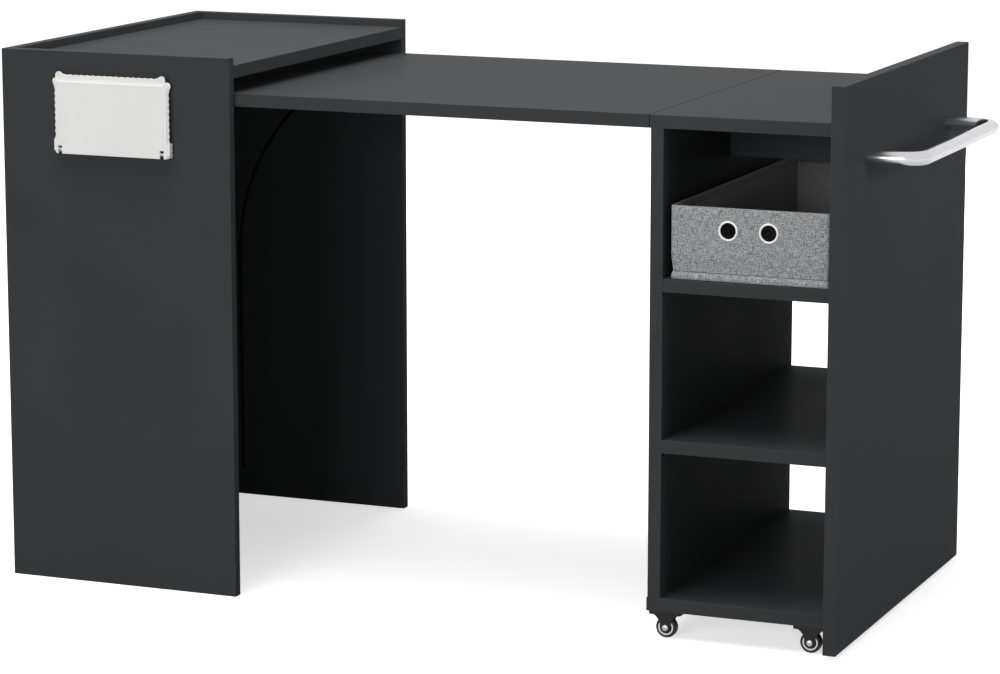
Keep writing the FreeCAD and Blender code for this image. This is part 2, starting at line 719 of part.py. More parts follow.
def build_side_tray():
    """The fold-down tray on the shell's front panel: floor outward, three flared and scalloped rims."""
    left = "(shell_length / 2 - dish_width / 2)"
    right = "(shell_length / 2 + dish_width / 2)"
    face = f"(-{HALF} - dish_standoff)"
    rear = f"({face} + dish_depth)"
    head = "(dish_foot + dish_height)"
    top = f"({head} + dish_flare)"
    spread = "(dish_flare * dish_floor / dish_depth)"
    wide_left, wide_right = f"({left} - dish_flare)", f"({right} + dish_flare)"
    shape = wedge(
        (left, face, "dish_foot"), (right, rear, head),
        (wide_left, rear, "dish_foot"), (wide_right, rear, top),
    )
    hollow = wedge(
        (f"{left} - {spread} + dish_wall", f"{face} + dish_floor", "dish_foot"),
        (f"{right} + {spread} - dish_wall", rear, f"{head} + {spread} - dish_wall"),
        (f"{wide_left} + dish_wall", rear, "dish_foot"),
        (f"{wide_right} - dish_wall", rear, f"{top} - dish_wall"),
    )
    axis_y = f"(-{HALF} - dish_axis_out)"
    axis_z = "(dish_foot + dish_axis_up)"
    bulb_drop = "bulb_radius - bead_proud"
    bracket_half = "(bracket_screw_head + bracket_margin)"
    bracket_pitch = "(2 * bracket_screw_head + bracket_clear)"
    additions = dish_beads(left, right, top, rear)
    corners = []
    notches = []
    bearings = []
    brackets = []
    pins = []
    screws = []
    for toward, edge, wide in (("-X", left, wide_left), ("+X", right, wide_right)):
        inward = back(toward)
        lip = (wide, f"{rear} - bead_thick", top)
        for along, down in (("bulb_set", bulb_drop), (bulb_drop, "bulb_set + bulb_radius")):
            bulb = step(step(lip, inward, along), "-Z", down)
            additions.append(rod(bulb, "+Y", "bead_thick", "bulb_radius"))
        cut_in = step(lip, inward, "corner_cut")[0]
        low_x, high_x = span(toward, cut_in, wide)
        corners.append(box((low_x, face, f"{top} - corner_cut"), (high_x, rear, top)))
        ear = step((edge, axis_y, axis_z), toward, "ear_inset")
        additions.append(rod(ear, toward, "ear_thick", "ear_radius"))
        raised = step(ear, "+Z", "ear_rise - dish_axis_up")
        additions.append(rod(raised, toward, "ear_thick", "ear_radius"))
        ear_out = step(ear, toward, "ear_thick")[0]
        low_x, high_x = span(toward, ear[0], ear_out)
        additions.append(box(
            (low_x, f"{rear} - bead_thick", axis_z),
            (high_x, f"{axis_y} + ear_radius", raised[2]),
        ))
        bearings.append(rod(ear, toward, "ear_thick", "dish_pin + running_fit"))
        knuckle_out = step(ear, inward, "knuckle_play")
        knuckle_in = step(knuckle_out, inward, "knuckle_width")
        notch_in = step(knuckle_in, inward, "knuckle_play")[0]
        low_x, high_x = span(toward, notch_in, ear[0])
        notches.append(box((low_x, face, "dish_foot"), (high_x, rear, "dish_foot + notch_rise")))
        plate_front = f"(-{HALF} - bracket_base)"
        screw_at = step((knuckle_in[0], plate_front, axis_z), inward, bracket_half)
        plate_in = step(screw_at, inward, f"{bracket_pitch} + {bracket_half}")[0]
        low_x, high_x = span(toward, plate_in, knuckle_out[0])
        base = box(
            (low_x, plate_front, f"{axis_z} - {bracket_half}"),
            (high_x, minus(HALF), f"{axis_z} + {bracket_half}"),
        )
        low_x, high_x = span(toward, knuckle_in[0], knuckle_out[0])
        arm = box(
            (low_x, axis_y, f"{axis_z} - knuckle_radius"),
            (high_x, minus(HALF), f"{axis_z} + knuckle_radius"),
        )
        barrel = rod(knuckle_in, toward, "knuckle_width", "knuckle_radius")
        holes = [rod(knuckle_in, toward, "knuckle_width", "dish_pin")]
        for at in (screw_at, step(screw_at, inward, bracket_pitch)):
            sizes = ("bracket_base", "bracket_screw_head", "bracket_screw_core")
            screws.append(screw(at, "+Y", *sizes, "screw_bite"))
            holes.append(cone(at, "+Y", *sizes))
            seat = step(at, "+Y", "bracket_base")
            bore("shell_front_panel", rod(seat, "+Y", "screw_bite", "bracket_screw_core"))
        brackets.append(cut(fuse(base, arm, barrel), *holes))
        pin_length = "knuckle_width + knuckle_play + ear_thick"
        pins.append(rod(knuckle_in, toward, pin_length, "dish_pin"))
    whole = fuse(cut(shape, *corners), *additions)
    node("side_tray", cut(whole, hollow, *notches, *bearings))
    node("side_tray_brackets", group(brackets))
    node("side_tray_pins", group(pins))
    node("side_tray_screws", group(screws))


def export():
    """Stops at a failed object, then writes each sub-part to a file of its own."""
    doc.recompute()
    failed = [o.Name for o in doc.Objects if "Invalid" in o.State or "Error" in o.State]
    if failed:
        raise RuntimeError(f"failed objects: {failed}")
    for item in nodes:
        if item.Shape.isNull() or not item.Shape.isValid() or not item.Shape.Solids:
            raise RuntimeError(f"{item.Label} has no valid solid")
    os.makedirs("parts", exist_ok=True)
    for item in nodes:
        item.Shape.exportStep(f"parts/{item.Label}.step")
        print(item.Label, len(item.Shape.Solids), round(item.Shape.Volume, 1))


fill_sheet()
build_side_tray()
build_hinges()
build_handle()
build_casters()
build_shell()
build_leaf()
build_trolley()
build_bin()
export()
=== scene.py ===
"""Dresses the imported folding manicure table: finishes, fabric, moulded pieces, light and camera.

Metres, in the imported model's frame: x runs along the desk from the shell's end panel, the front is at
negative y, and the floor is at z = 0.
"""

import json
import math

import bmesh
import bpy
from mathutils import Matrix, Vector, noise


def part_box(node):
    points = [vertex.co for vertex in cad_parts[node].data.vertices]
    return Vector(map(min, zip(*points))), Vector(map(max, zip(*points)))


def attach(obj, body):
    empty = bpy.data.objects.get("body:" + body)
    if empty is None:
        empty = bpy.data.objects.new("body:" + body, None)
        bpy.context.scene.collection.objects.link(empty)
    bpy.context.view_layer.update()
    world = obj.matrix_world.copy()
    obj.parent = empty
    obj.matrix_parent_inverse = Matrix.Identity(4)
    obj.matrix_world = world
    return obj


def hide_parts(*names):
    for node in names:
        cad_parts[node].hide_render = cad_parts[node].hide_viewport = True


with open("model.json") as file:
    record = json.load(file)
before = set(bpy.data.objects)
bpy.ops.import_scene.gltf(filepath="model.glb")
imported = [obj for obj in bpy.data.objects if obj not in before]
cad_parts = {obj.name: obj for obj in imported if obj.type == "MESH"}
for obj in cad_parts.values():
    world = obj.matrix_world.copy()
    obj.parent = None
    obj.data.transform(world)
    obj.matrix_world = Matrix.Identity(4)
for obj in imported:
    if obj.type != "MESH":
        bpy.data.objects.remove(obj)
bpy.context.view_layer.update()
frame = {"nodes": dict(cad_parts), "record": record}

MM = 0.001
RIGHT_ANGLE = math.pi / 2
X_AXIS = Vector((1, 0, 0))
Y_AXIS = Vector((0, 1, 0))
Z_AXIS = Vector((0, 0, 1))
BOARD_SLOT = "charcoal_laminate"
SLOTS = {part["node"]: part["material_slot"] for part in frame["record"]["subparts"]}
BODIES = {
    node: body
    for body, members in frame["record"]["behaviour"]["bodies"].items()
    for node in members
}

# Finishes

# Noise nodes give values mostly between these two.
NOISE_LOW = 0.3
NOISE_HIGH = 0.7


class Nodes:
    """Adds shader nodes to one node tree."""

    def __init__(self, tree):
        self.tree = tree

    def add(self, kind, **settings):
        """A new node of a kind, with its settings."""
        made = self.tree.nodes.new("ShaderNode" + kind)
        for name, value in settings.items():
            setattr(made, name, value)
        return made

    def put(self, value, socket):
        """Links an output to a socket, or sets the socket's own value."""
        if isinstance(value, bpy.types.NodeSocket):
            self.tree.links.new(value, socket)
        else:
            socket.default_value = value

    def scaled(self, value, low, high, start=NOISE_LOW, stop=NOISE_HIGH):
        """A value from start to stop, brought to the range from low to high."""
        made = self.add("MapRange")
        for name, limit in zip(("From Min", "From Max", "To Min", "To Max"), (start, stop, low, high)):
            made.inputs[name].default_value = limit
        self.put(value, made.inputs["Value"])
        return made.outputs["Result"]

    def math(self, operation, first, second=0.0):
        """The result of an operation on one or two values."""
        made = self.add("Math", operation=operation)
        self.put(first, made.inputs[0])
        self.put(second, made.inputs[1])
        return made.outputs["Value"]

    def weighted(self, first, second, share):
        """A share of the first value and the rest of the second."""
        parts = [self.math("MULTIPLY", *part) for part in ((first, share), (second, 1 - share))]
        return self.math("ADD", *parts)

    def axes(self, vector):
        """The x, y and z of a vector."""
        made = self.add("SeparateXYZ")
        self.put(vector, made.inputs["Vector"])
        return [made.outputs[axis] for axis in "XYZ"]


class Finish(Nodes):
    """A procedural material around one Principled shader. What holds all over is set on its sockets."""

    def __init__(self, name, values):
        self.material = bpy.data.materials.new(name)
        self.material.use_nodes = True
        super().__init__(self.material.node_tree)
        self.shader = self.tree.nodes["Principled BSDF"]
        for socket, value in values.items():
            self.shader.inputs[socket].default_value = value

    def feed(self, socket, output):
        """Links an output to one of the shader's sockets."""
        self.tree.links.new(output, self.shader.inputs[socket])

    def place(self, stretch=(1, 1, 1), kind="Object"):
        """Object or UV coordinates in metres, times a stretch along each axis."""
        mapping = self.add("Mapping")
        mapping.inputs["Scale"].default_value = stretch
        self.put(self.add("TexCoord").outputs[kind], mapping.inputs["Vector"])
        return mapping.outputs["Vector"]

    def noise(self, vector, scale, detail=2.0):
        """Smooth noise at a place."""
        made = self.add("TexNoise")
        made.inputs["Scale"].default_value = scale
        made.inputs["Detail"].default_value = detail
        self.put(vector, made.inputs["Vector"])
        return made.outputs["Fac"]

    def cells(self, vector, scale):
        """Distance to the nearest of many scattered points."""
        made = self.add("TexVoronoi")
        made.inputs["Scale"].default_value = scale
        self.put(vector, made.inputs["Vector"])
        return made.outputs["Distance"]

    def mix(self, share, first, second):
        """A colour between two, by a share."""
        made = self.add("Mix", data_type="RGBA")
        colours = [s for s in made.inputs if s.type == "RGBA"]
        self.put(share, made.inputs["Factor"])
        self.put(first, colours[0])
        self.put(second, colours[1])
        return next(s for s in made.outputs if s.type == "RGBA")

    def paint(self, value, dark, light, start=NOISE_LOW, stop=NOISE_HIGH):
        """Base colour from dark to light, as a value goes from start to stop."""
        self.feed("Base Color", self.mix(self.scaled(value, 0, 1, start, stop), dark, light))

    def roughen(self, value, middle, spread):
        """Roughness that follows a value, up to a spread on both sides of a middle."""
        self.feed("Roughness", self.scaled(value, middle - spread, middle + spread))

    def relief(self, height, depth, strength):
        """Bumps of a depth in metres."""
        made = self.add("Bump")
        made.inputs["Strength"].default_value = strength
        made.inputs["Distance"].default_value = depth
        self.put(height, made.inputs["Height"])
        self.feed("Normal", made.outputs["Normal"])


def linear(shade):
    """A shade as it reads on screen, from 0 to 255, as a linear one by the sRGB curve."""
    share = shade / 255
    return ((share + 0.055) / 1.055) ** 2.4 if share > 0.04045 else share / 12.92


def srgb(red, green, blue):
    """An opaque colour from shades as they read on screen."""
    return (linear(red), linear(green), linear(blue), 1.0)


def laminate(name, dark, light, roughness):
    """Matte melamine: a faint drift of tone and a fine pearl grain."""
    finish = Finish(name, {"Specular IOR Level": 0.003})
    where = finish.place()
    drift = finish.noise(where, scale=5, detail=3)
    pearl = finish.noise(where, scale=1500, detail=3)
    pits = finish.cells(where, scale=900)
    finish.paint(finish.weighted(drift, pearl, share=0.6), dark, light)
    finish.roughen(drift, roughness, spread=0.04)
    finish.relief(finish.math("ADD", pearl, pits), depth=0.05 * MM, strength=0.35)
    return finish


def brushed_chrome(name, tone, roughness):
    """Satin chrome tube with fine lines along its length."""
    finish = Finish(name, {"Base Color": tone, "Metallic": 1.0})
    lines = finish.noise(finish.place(stretch=(6, 900, 1), kind="UV"), scale=1, detail=3)
    haze = finish.noise(finish.place(), scale=30)
    finish.roughen(finish.weighted(lines, haze, share=0.6), roughness, spread=0.06)
    finish.relief(lines, depth=0.01 * MM, strength=0.2)
    return finish


def plated(name, dark, light, roughness):
    """Plated or cast metal with a mottled surface."""
    finish = Finish(name, {"Metallic": 1.0})
    where = finish.place()
    mottle = finish.noise(where, scale=350, detail=4)
    grain = finish.noise(where, scale=2500)
    finish.paint(mottle, dark, light)
    finish.roughen(mottle, roughness, spread=0.04)
    finish.relief(grain, depth=0.02 * MM, strength=0.2)
    return finish


def moulded(name, dark, light, roughness, grain_scale, grain_depth, specular=0.5):
    """Moulded plastic or rubber with a fine spark-eroded grain."""
    finish = Finish(name, {"Specular IOR Level": specular})
    where = finish.place()
    drift = finish.noise(where, scale=14)
    grain = finish.noise(where, grain_scale)
    finish.paint(drift, dark, light)
    finish.roughen(grain, roughness, spread=0.05)
    finish.relief(grain, grain_depth, strength=0.4)
    return finish


def wood(name, dark, light):
    """Plain beech with its short flecks."""
    finish = Finish(name, {"Roughness": 0.6})
    grain = finish.noise(finish.place(stretch=(40, 700, 700)), scale=1, detail=4)
    finish.paint(grain, dark, light)
    finish.relief(grain, depth=0.05 * MM, strength=0.3)
    return finish


WEAVE_PITCH = 1.1 * MM
# How many times longer than thick a slub in a yarn is.
SLUB = 8
# How much a yarn's round back adds to the relief, beside its slubs.
YARN_BACK = 0.5


def linen(name, dark, light):
    """Heather weave: yarns over and under each other, each with its own slubs and tone."""
    finish = Finish(name, {"Roughness": 0.9, "Specular IOR Level": 0.2, "Sheen Weight": 0.12})
    count = 1 / WEAVE_PITCH
    turns = math.pi * count
    warp = finish.noise(finish.place((count, count / SLUB, 1), "UV"), scale=1)
    weft = finish.noise(finish.place((count / SLUB, count, 1), "UV"), scale=1)
    fleck = finish.noise(finish.place((count / 2, count / 2, 1), "UV"), scale=1, detail=3)
    across, along = [
        finish.math("SINE", axis) for axis in finish.axes(finish.place((turns, turns, turns), "UV"))[:2]
    ]
    yarn = finish.add("Mix", data_type="FLOAT")
    checks = finish.math("MULTIPLY", across, along)
    finish.put(finish.scaled(checks, 0, 1, start=-0.4, stop=0.4), yarn.inputs["Factor"])
    finish.put(warp, yarn.inputs["A"])
    finish.put(weft, yarn.inputs["B"])
    slubs = yarn.outputs["Result"]
    finish.paint(finish.weighted(slubs, fleck, share=0.65), dark, light, start=0.36, stop=0.64)
    backs = finish.math("ADD", finish.math("ABSOLUTE", across), finish.math("ABSOLUTE", along))
    height = finish.math("ADD", finish.math("MULTIPLY", backs, YARN_BACK), slubs)
    finish.relief(height, depth=0.25 * MM, strength=0.6)
    return finish


# How far inside a guide panel's outline and faces the painted shade on its grooves' inner faces starts.
OUTLINE_MARGIN = 1 * MM
FACE_MARGIN = 0.2 * MM


def grooved(name, dark, light, roughness, groove_shade):
    """Laminate on the two guide panels, with painted shade: the inner faces of their grooves are
    coloured near black.
    """
    finish = laminate(name, dark, light, roughness)
    low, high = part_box("shell_rear_panel")
    x, y, z = finish.axes(finish.place())
    inside = 1.0
    for value, start, stop, margin in (
        (x, low.x, high.x, OUTLINE_MARGIN),
        (finish.math("ABSOLUTE", y), low.y, high.y, FACE_MARGIN),
        (z, low.z, high.z, OUTLINE_MARGIN),
    ):
        past = finish.math("GREATER_THAN", value, start + margin)
        short = finish.math("LESS_THAN", value, stop - margin)
        inside = finish.math("MULTIPLY", finish.math("MULTIPLY", past, short), inside)
    # Painted shade: every face inside the panel's outline and faces, which are the groove walls, takes
    # the near-black colour.
    face = finish.shader.inputs["Base Color"].links[0].from_socket
    finish.feed("Base Color", finish.mix(inside, face, groove_shade))
    return finish


CHARCOAL = (srgb(58, 59, 61), srgb(63, 64, 66))
BOARD_ROUGHNESS = 0.45
BOARD = laminate("charcoal_laminate", *CHARCOAL, BOARD_ROUGHNESS)
# The guide panels' grooves get near-black painted shade.
GUIDE_BOARD = grooved("charcoal_with_painted_groove_shade", *CHARCOAL, BOARD_ROUGHNESS, groove_shade=srgb(9, 9, 10))
# Lighter rounded arrises: partly wear, partly a painted highlight where the arrises catch light.
WORN_EDGE_AND_HIGHLIGHT = laminate("charcoal_worn_edge_and_highlight", srgb(61, 62, 64), srgb(69, 70, 72), roughness=0.42)
CHROME = brushed_chrome("satin_chrome", srgb(208, 208, 210), roughness=0.22)
STEEL = plated("zinc_plated_steel", srgb(170, 172, 174), srgb(190, 191, 193), roughness=0.42)
DARK_ZINC = plated("blackened_zinc", srgb(40, 40, 42), srgb(58, 58, 60), roughness=0.5)
BEECH = wood("beech_dowel", srgb(186, 144, 98), srgb(214, 176, 130))
WHITE = moulded(
    "white_plastic", srgb(222, 222, 219), srgb(228, 228, 225),
    roughness=0.4, grain_scale=1800, grain_depth=0.02 * MM,
)
BLACK = moulded(
    "black_plastic", srgb(26, 26, 27), srgb(33, 33, 34),
    roughness=0.45, grain_scale=1500, grain_depth=0.03 * MM, specular=0.2,
)
RUBBER = moulded(
    "tyre_rubber", srgb(20, 20, 20), srgb(27, 27, 27),
    roughness=0.55, grain_scale=900, grain_depth=0.05 * MM, specular=0.35,
)
RING = moulded(
    "white_ring", srgb(246, 246, 245), srgb(251, 251, 250),
    roughness=0.3, grain_scale=1800, grain_depth=0.01 * MM,
)
THREAD = moulded(
    "grey_thread", srgb(96, 98, 100), srgb(130, 132, 134),
    roughness=0.8, grain_scale=3000, grain_depth=0.05 * MM, specular=0.2,
)
LINEN = linen("heather_linen", srgb(66, 67, 69), srgb(196, 197, 199))
# The hem band's own darker tone, also used as painted shade on the wall's top face.
HEM_AND_TOP_SHADE = linen("lining_hem_and_top_shade", srgb(100, 100, 100), srgb(138, 138, 138))
LINING = linen("grey_lining", srgb(134, 134, 134), srgb(172, 172, 172))
SEAM = linen("sewn_seam", srgb(52, 53, 55), srgb(120, 121, 123))

SLOT_FINISHES = {
    BOARD_SLOT: BOARD,
    "chrome_tube": CHROME,
    "steel": STEEL,
    "zinc": DARK_ZINC,
    "beech": BEECH,
    "white_plastic": WHITE,
    "black_plastic": BLACK,
    "tyre_rubber": RUBBER,
    "grey_linen": LINEN,
    "grey_board": LINING,
    "eyelet_plastic": RING,
}

# Mesh helpers

SMOOTH_ANGLE = math.radians(35)
WELD = 0.01 * MM
FACE_WEIGHT = 100
TURNED_SIDES = 48
CORNER_STEPS = 6


def soften(thing, width, edge_slot=-1):
    """Rounds an object's sharp edges, and gives them a material slot of their own if one is named."""
    bevel = thing.modifiers.new("rounded_edges", "BEVEL")
    bevel.width = width
    bevel.segments = 2
    bevel.limit_method = "ANGLE"
    bevel.angle_limit = SMOOTH_ANGLE
    bevel.use_clamp_overlap = False
    bevel.material = edge_slot
    flat = thing.modifiers.new("flat_faces", "WEIGHTED_NORMAL")
    flat.weight = FACE_WEIGHT
    return thing


def piece(name, mesh, finishes, body, slot, *replaced):
    """Makes an object of a mesh in place, rides it on a body and hides the nodes that it stands for."""
    data = bpy.data.meshes.new(name)
    bmesh.ops.recalc_face_normals(mesh, faces=mesh.faces)
    mesh.to_mesh(data)
    mesh.free()
    data.shade_smooth()
    data.set_sharp_from_angle(angle=SMOOTH_ANGLE)
    for finish in finishes:
        data.materials.append(finish.material)
    thing = bpy.data.objects.new(name, data)
    bpy.context.scene.collection.objects.link(thing)
    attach(thing, body)
    if replaced:
        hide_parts(*replaced)
    return thing


def settled(thing):
    """Puts an object's modifiers into its mesh."""
    graph = bpy.context.evaluated_depsgraph_get()
    made = bpy.data.meshes.new_from_object(thing.evaluated_get(graph))
    thing.modifiers.clear()
    thing.data = made
    return thing


def drilled(thing, cutter):
    """Takes a closed mesh out of an object."""
    data = bpy.data.meshes.new("drill")
    bmesh.ops.recalc_face_normals(cutter, faces=cutter.faces)
    cutter.to_mesh(data)
    cutter.free()
    tool = bpy.data.objects.new("drill", data)
    bpy.context.scene.collection.objects.link(tool)
    holes = thing.modifiers.new("holes", "BOOLEAN")
    holes.object = tool
    holes.solver = "EXACT"
    settled(thing)
    bpy.data.objects.remove(tool)
    return thing


def aimed(at, toward):
    """A frame at a point, with its own z axis in a direction."""
    return Matrix.Translation(at) @ Vector(toward).to_track_quat("Z", "Y").to_matrix().to_4x4()


def arc(stop, steps, start=0.0):
    """Evenly spaced angles from start to stop, with both ends."""
    return [start + (stop - start) * k / steps for k in range(steps + 1)]


def ring(mesh, matrix, radius, height, sides):
    """A circle of points round a frame's z axis."""
    places = [
        Vector((radius * math.cos(turn), radius * math.sin(turn), height))
        for turn in arc(math.tau, sides)[:-1]
    ]
    return [mesh.verts.new(matrix @ place) for place in places]


def bridge(mesh, lower, upper, finish=0, closed=True):
    """Faces between two rows of points, closed rings or open strips."""
    for k in range(len(lower) if closed else len(lower) - 1):
        after = (k + 1) % len(lower)
        mesh.faces.new((lower[k], lower[after], upper[after], upper[k])).material_index = finish


def lathe(mesh, matrix, profile, sides=TURNED_SIDES, closed=True, finishes=None):
    """A turned form. The profile holds (radius, height) pairs, and is a closed section or is capped."""
    rows = [ring(mesh, matrix, radius, height, sides) for radius, height in profile]
    finishes = finishes or [0] * len(rows)
    for finish, lower, upper in zip(finishes, rows, rows[1:]):
        bridge(mesh, lower, upper, finish)
    if closed:
        bridge(mesh, rows[-1], rows[0], finishes[-1])
    else:
        mesh.faces.new(rows[0])
        mesh.faces.new(rows[-1])


def mirrored(profile):
    """A profile's other end, in the order in which a section goes on."""
    return [(radius, -height) for radius, height in reversed(profile)]


def prism(mesh, outline, matrix, low, high):
    """A flat outline in a frame's xy plane, thickened along its z axis."""
    rows = [[mesh.verts.new(matrix @ Vector((x, y, z))) for x, y in outline] for z in (low, high)]
    bridge(mesh, *rows)
    for row in rows:
        mesh.faces.new(row)


def rounded_rectangle(length, width, radius):
    """The outline of a rectangle about the origin with round corners."""
    points = []
    for quarter, (sx, sy) in enumerate(((1, 1), (-1, 1), (-1, -1), (1, -1))):
        centre = Vector((sx * (length / 2 - radius), sy * (width / 2 - radius)))
        for k in range(CORNER_STEPS + 1):
            turn = RIGHT_ANGLE * (quarter + k / CORNER_STEPS)
            points.append(centre + radius * Vector((math.cos(turn), math.sin(turn))))
    return points


def eased(share):
    """A share held between 0 and 1, with a slow start and end."""
    held = min(max(share, 0), 1)
    return held * held * (3 - 2 * held)


def solids(node):
    """The boxes of a node's separate solids, as pairs of lowest and highest corners."""
    mesh = bmesh.new()
    mesh.from_mesh(frame["nodes"][node].data)
    bmesh.ops.remove_doubles(mesh, verts=mesh.verts, dist=WELD)
    left = set(mesh.verts)
    boxes = []
    while left:
        reached = {left.pop()}
        edge = list(reached)
        while edge:
            near = {e.other_vert(v) for v in edge for e in v.link_edges} - reached
            reached |= near
            edge = list(near)
        left -= reached
        corners = [[pick(v.co[axis] for v in reached) for axis in range(3)] for pick in (min, max)]
        boxes.append((Vector(corners[0]), Vector(corners[1])))
    mesh.free()
    return sorted(boxes, key=lambda box: tuple(round(c, 4) for c in box[0]))


def box_unwrap(thing):
    """UV coordinates in metres, laid flat on each face from the side that it looks to."""
    layer = thing.data.uv_layers.new(name="flat")
    for face in thing.data.polygons:
        main = max(range(3), key=lambda axis: abs(face.normal[axis]))
        first, second = (axis for axis in range(3) if axis != main)
        for loop in face.loop_indices:
            point = thing.data.vertices[thing.data.loops[loop].vertex_index].co
            layer.data[loop].uv = (point[first], point[second])


# Boards and other carried-over pieces

GUIDE_PANELS = ("shell_front_panel", "shell_rear_panel")
BOARD_ROUND = 0.7 * MM
FITTING_ROUND = 0.25 * MM
FLAT_ANGLE = math.radians(0.5)


def dress(node):
    """Gives a carried-over node its slot's finish and rounds its edges, with a lighter finish on a
    board's rounded edges that is partly wear and partly painted highlight.
    """
    thing = frame["nodes"][node]
    board = SLOTS[node] == BOARD_SLOT
    finishes = [GUIDE_BOARD if node in GUIDE_PANELS else SLOT_FINISHES[SLOTS[node]]]
    if board:
        finishes.append(WORN_EDGE_AND_HIGHLIGHT)
    thing.data.materials.clear()
    for finish in finishes:
        thing.data.materials.append(finish.material)
    weld = thing.modifiers.new("joined_points", "WELD")
    weld.merge_threshold = WELD
    flat = thing.modifiers.new("whole_faces", "DECIMATE")
    flat.decimate_type = "DISSOLVE"
    flat.angle_limit = FLAT_ANGLE
    if board:
        soften(thing, BOARD_ROUND, finishes.index(WORN_EDGE_AND_HIGHLIGHT))
    else:
        soften(thing, FITTING_ROUND)


# Screws and cam locks

HEAD_SIDES = 32
# A cross recess: an arm's half width as a share of its reach, and its floor as a share of its mouth.
RECESS_ARM = 0.28
RECESS_TAPER = 0.55
# Shares of a screw head's radius.
SUNK_CHAMFER = 0.08
CROSS_REACH = 0.55
CROSS_DEPTH = 0.5
# The cross goes no deeper than this share of the head's height.
CROSS_LIMIT = 0.8
# Each ring of a domed head: its radius and its depth, as shares of the head's radius.
DOME_RINGS = ((0.8, 0.0), (0.95, 0.12), (1.0, 0.35))
# Each node of screws: the side that the heads face, whether they are sunk, and their height.
SCREWS = {
    "hinge_leaf_screws": (-Z_AXIS, True, 1.5 * MM),
    "hinge_fixed_screws": (-X_AXIS, True, 1.5 * MM),
    "side_tray_screws": (-Y_AXIS, True, 2 * MM),
    "caster_screws": (-Z_AXIS, False, 2 * MM),
    "handle_screws": (-X_AXIS, False, 2.5 * MM),
}
CAM_CHAMFER = 0.4 * MM
CAM_RECESS = 3.4 * MM
CAM_RECESS_DEPTH = 2.6 * MM
CAM_CAP_DEEP = 2 * MM
CAM_CAP_DISH = 0.3 * MM
CAM_CAP_RINGS = (0.1, 0.4, 0.7)


def recessed(mesh, matrix, rings, reach, depth):
    """A turned head with a cross recess in its top face, which is at the frame's origin."""
    top = ring(mesh, matrix, *rings[0], HEAD_SIDES)
    arm = RECESS_ARM * reach
    quarter = [(reach, -arm), (reach, arm), (arm, arm)]
    cross = []
    for turn in range(4):
        spin = Matrix.Rotation(RIGHT_ANGLE * turn, 2)
        cross += [spin @ Vector(point) for point in quarter]
    mouth = [mesh.verts.new(matrix @ Vector((x, y, 0))) for x, y in cross]
    floor = [
        mesh.verts.new(matrix @ Vector((x * RECESS_TAPER, y * RECESS_TAPER, -depth))) for x, y in cross
    ]
    bridge(mesh, mouth, floor)
    mesh.faces.new(floor)
    rim = []
    for row in (top, mouth):
        for k in range(len(row)):
            found = mesh.edges.get((row[k], row[k - 1])) or mesh.edges.new((row[k], row[k - 1]))
            rim.append(found)
    bmesh.ops.triangle_fill(mesh, use_beauty=True, edges=rim, normal=matrix.to_3x3() @ Z_AXIS)
    rows = [top] + [ring(mesh, matrix, *pair, HEAD_SIDES) for pair in rings[1:]]
    for lower, upper in zip(rows, rows[1:]):
        bridge(mesh, lower, upper)
    mesh.faces.new(rows[-1])


def fastener(mesh, box, facing, sunk, head_height):
    """A cross-headed screw in the box of its solid, with its head at the end that it faces."""
    low, high = box
    axis = max(range(3), key=lambda k: abs(facing[k]))
    length = high[axis] - low[axis]
    radius = max(high[k] - low[k] for k in range(3) if k != axis) / 2
    top = (low + high) / 2
    top[axis] = high[axis] if facing[axis] > 0 else low[axis]
    core = radius / 2
    if sunk:
        chamfer = SUNK_CHAMFER * radius
        rings = [(radius - chamfer, 0), (radius, -chamfer)]
    else:
        rings = [(across * radius, -down * radius) for across, down in DOME_RINGS]
        rings.append((radius, -head_height))
    rings += [(core, -head_height), (core, -length)]
    depth = min(CROSS_DEPTH * radius, CROSS_LIMIT * head_height)
    recessed(mesh, aimed(top, facing), rings, CROSS_REACH * radius, depth)


def make_screws():
    """A cross-headed screw for each solid of the nodes of screws."""
    for node, (facing, sunk, head_height) in SCREWS.items():
        mesh = bmesh.new()
        for box in solids(node):
            fastener(mesh, box, facing, sunk, head_height)
        piece(f"{node}_cross", mesh, [STEEL], BODIES[node], SLOTS[node], node)


def make_cam_locks():
    """Cast locks with a cross recess below level boards, and under charcoal caps in upright ones."""
    for node in ("shell_cam_locks", "trolley_cam_locks"):
        mesh = bmesh.new()
        caps = bmesh.new()
        for low, high in solids(node):
            size = high - low
            level = size.z < size.x
            deep = size.z if level else size.x
            radius = (size.x if level else size.z) / 2
            facing = -Z_AXIS if level else X_AXIS
            top = (low + high) / 2 + facing * deep / 2
            rings = [(radius - CAM_CHAMFER, 0), (radius, -CAM_CHAMFER)]
            if not level:
                dish = [(share * radius, -CAM_CAP_DISH * (1 - share)) for share in CAM_CAP_RINGS]
                profile = dish + rings + [(radius, -CAM_CAP_DEEP)]
                lathe(caps, aimed(top, facing), profile, HEAD_SIDES, closed=False)
                top -= facing * CAM_CAP_DEEP
                deep -= CAM_CAP_DEEP
            rings.append((radius, -deep))
            recessed(mesh, aimed(top, facing), rings, CAM_RECESS, CAM_RECESS_DEPTH)
        piece(f"{node}_cross", mesh, [DARK_ZINC], BODIES[node], SLOTS[node], node)
        if caps.verts:
            piece(f"{node}_caps", caps, [BOARD], BODIES[node], BOARD_SLOT)


# Handle

HANDLE_BEND = 27 * MM
HANDLE_SIDES = 40
BEND_STEPS = 14


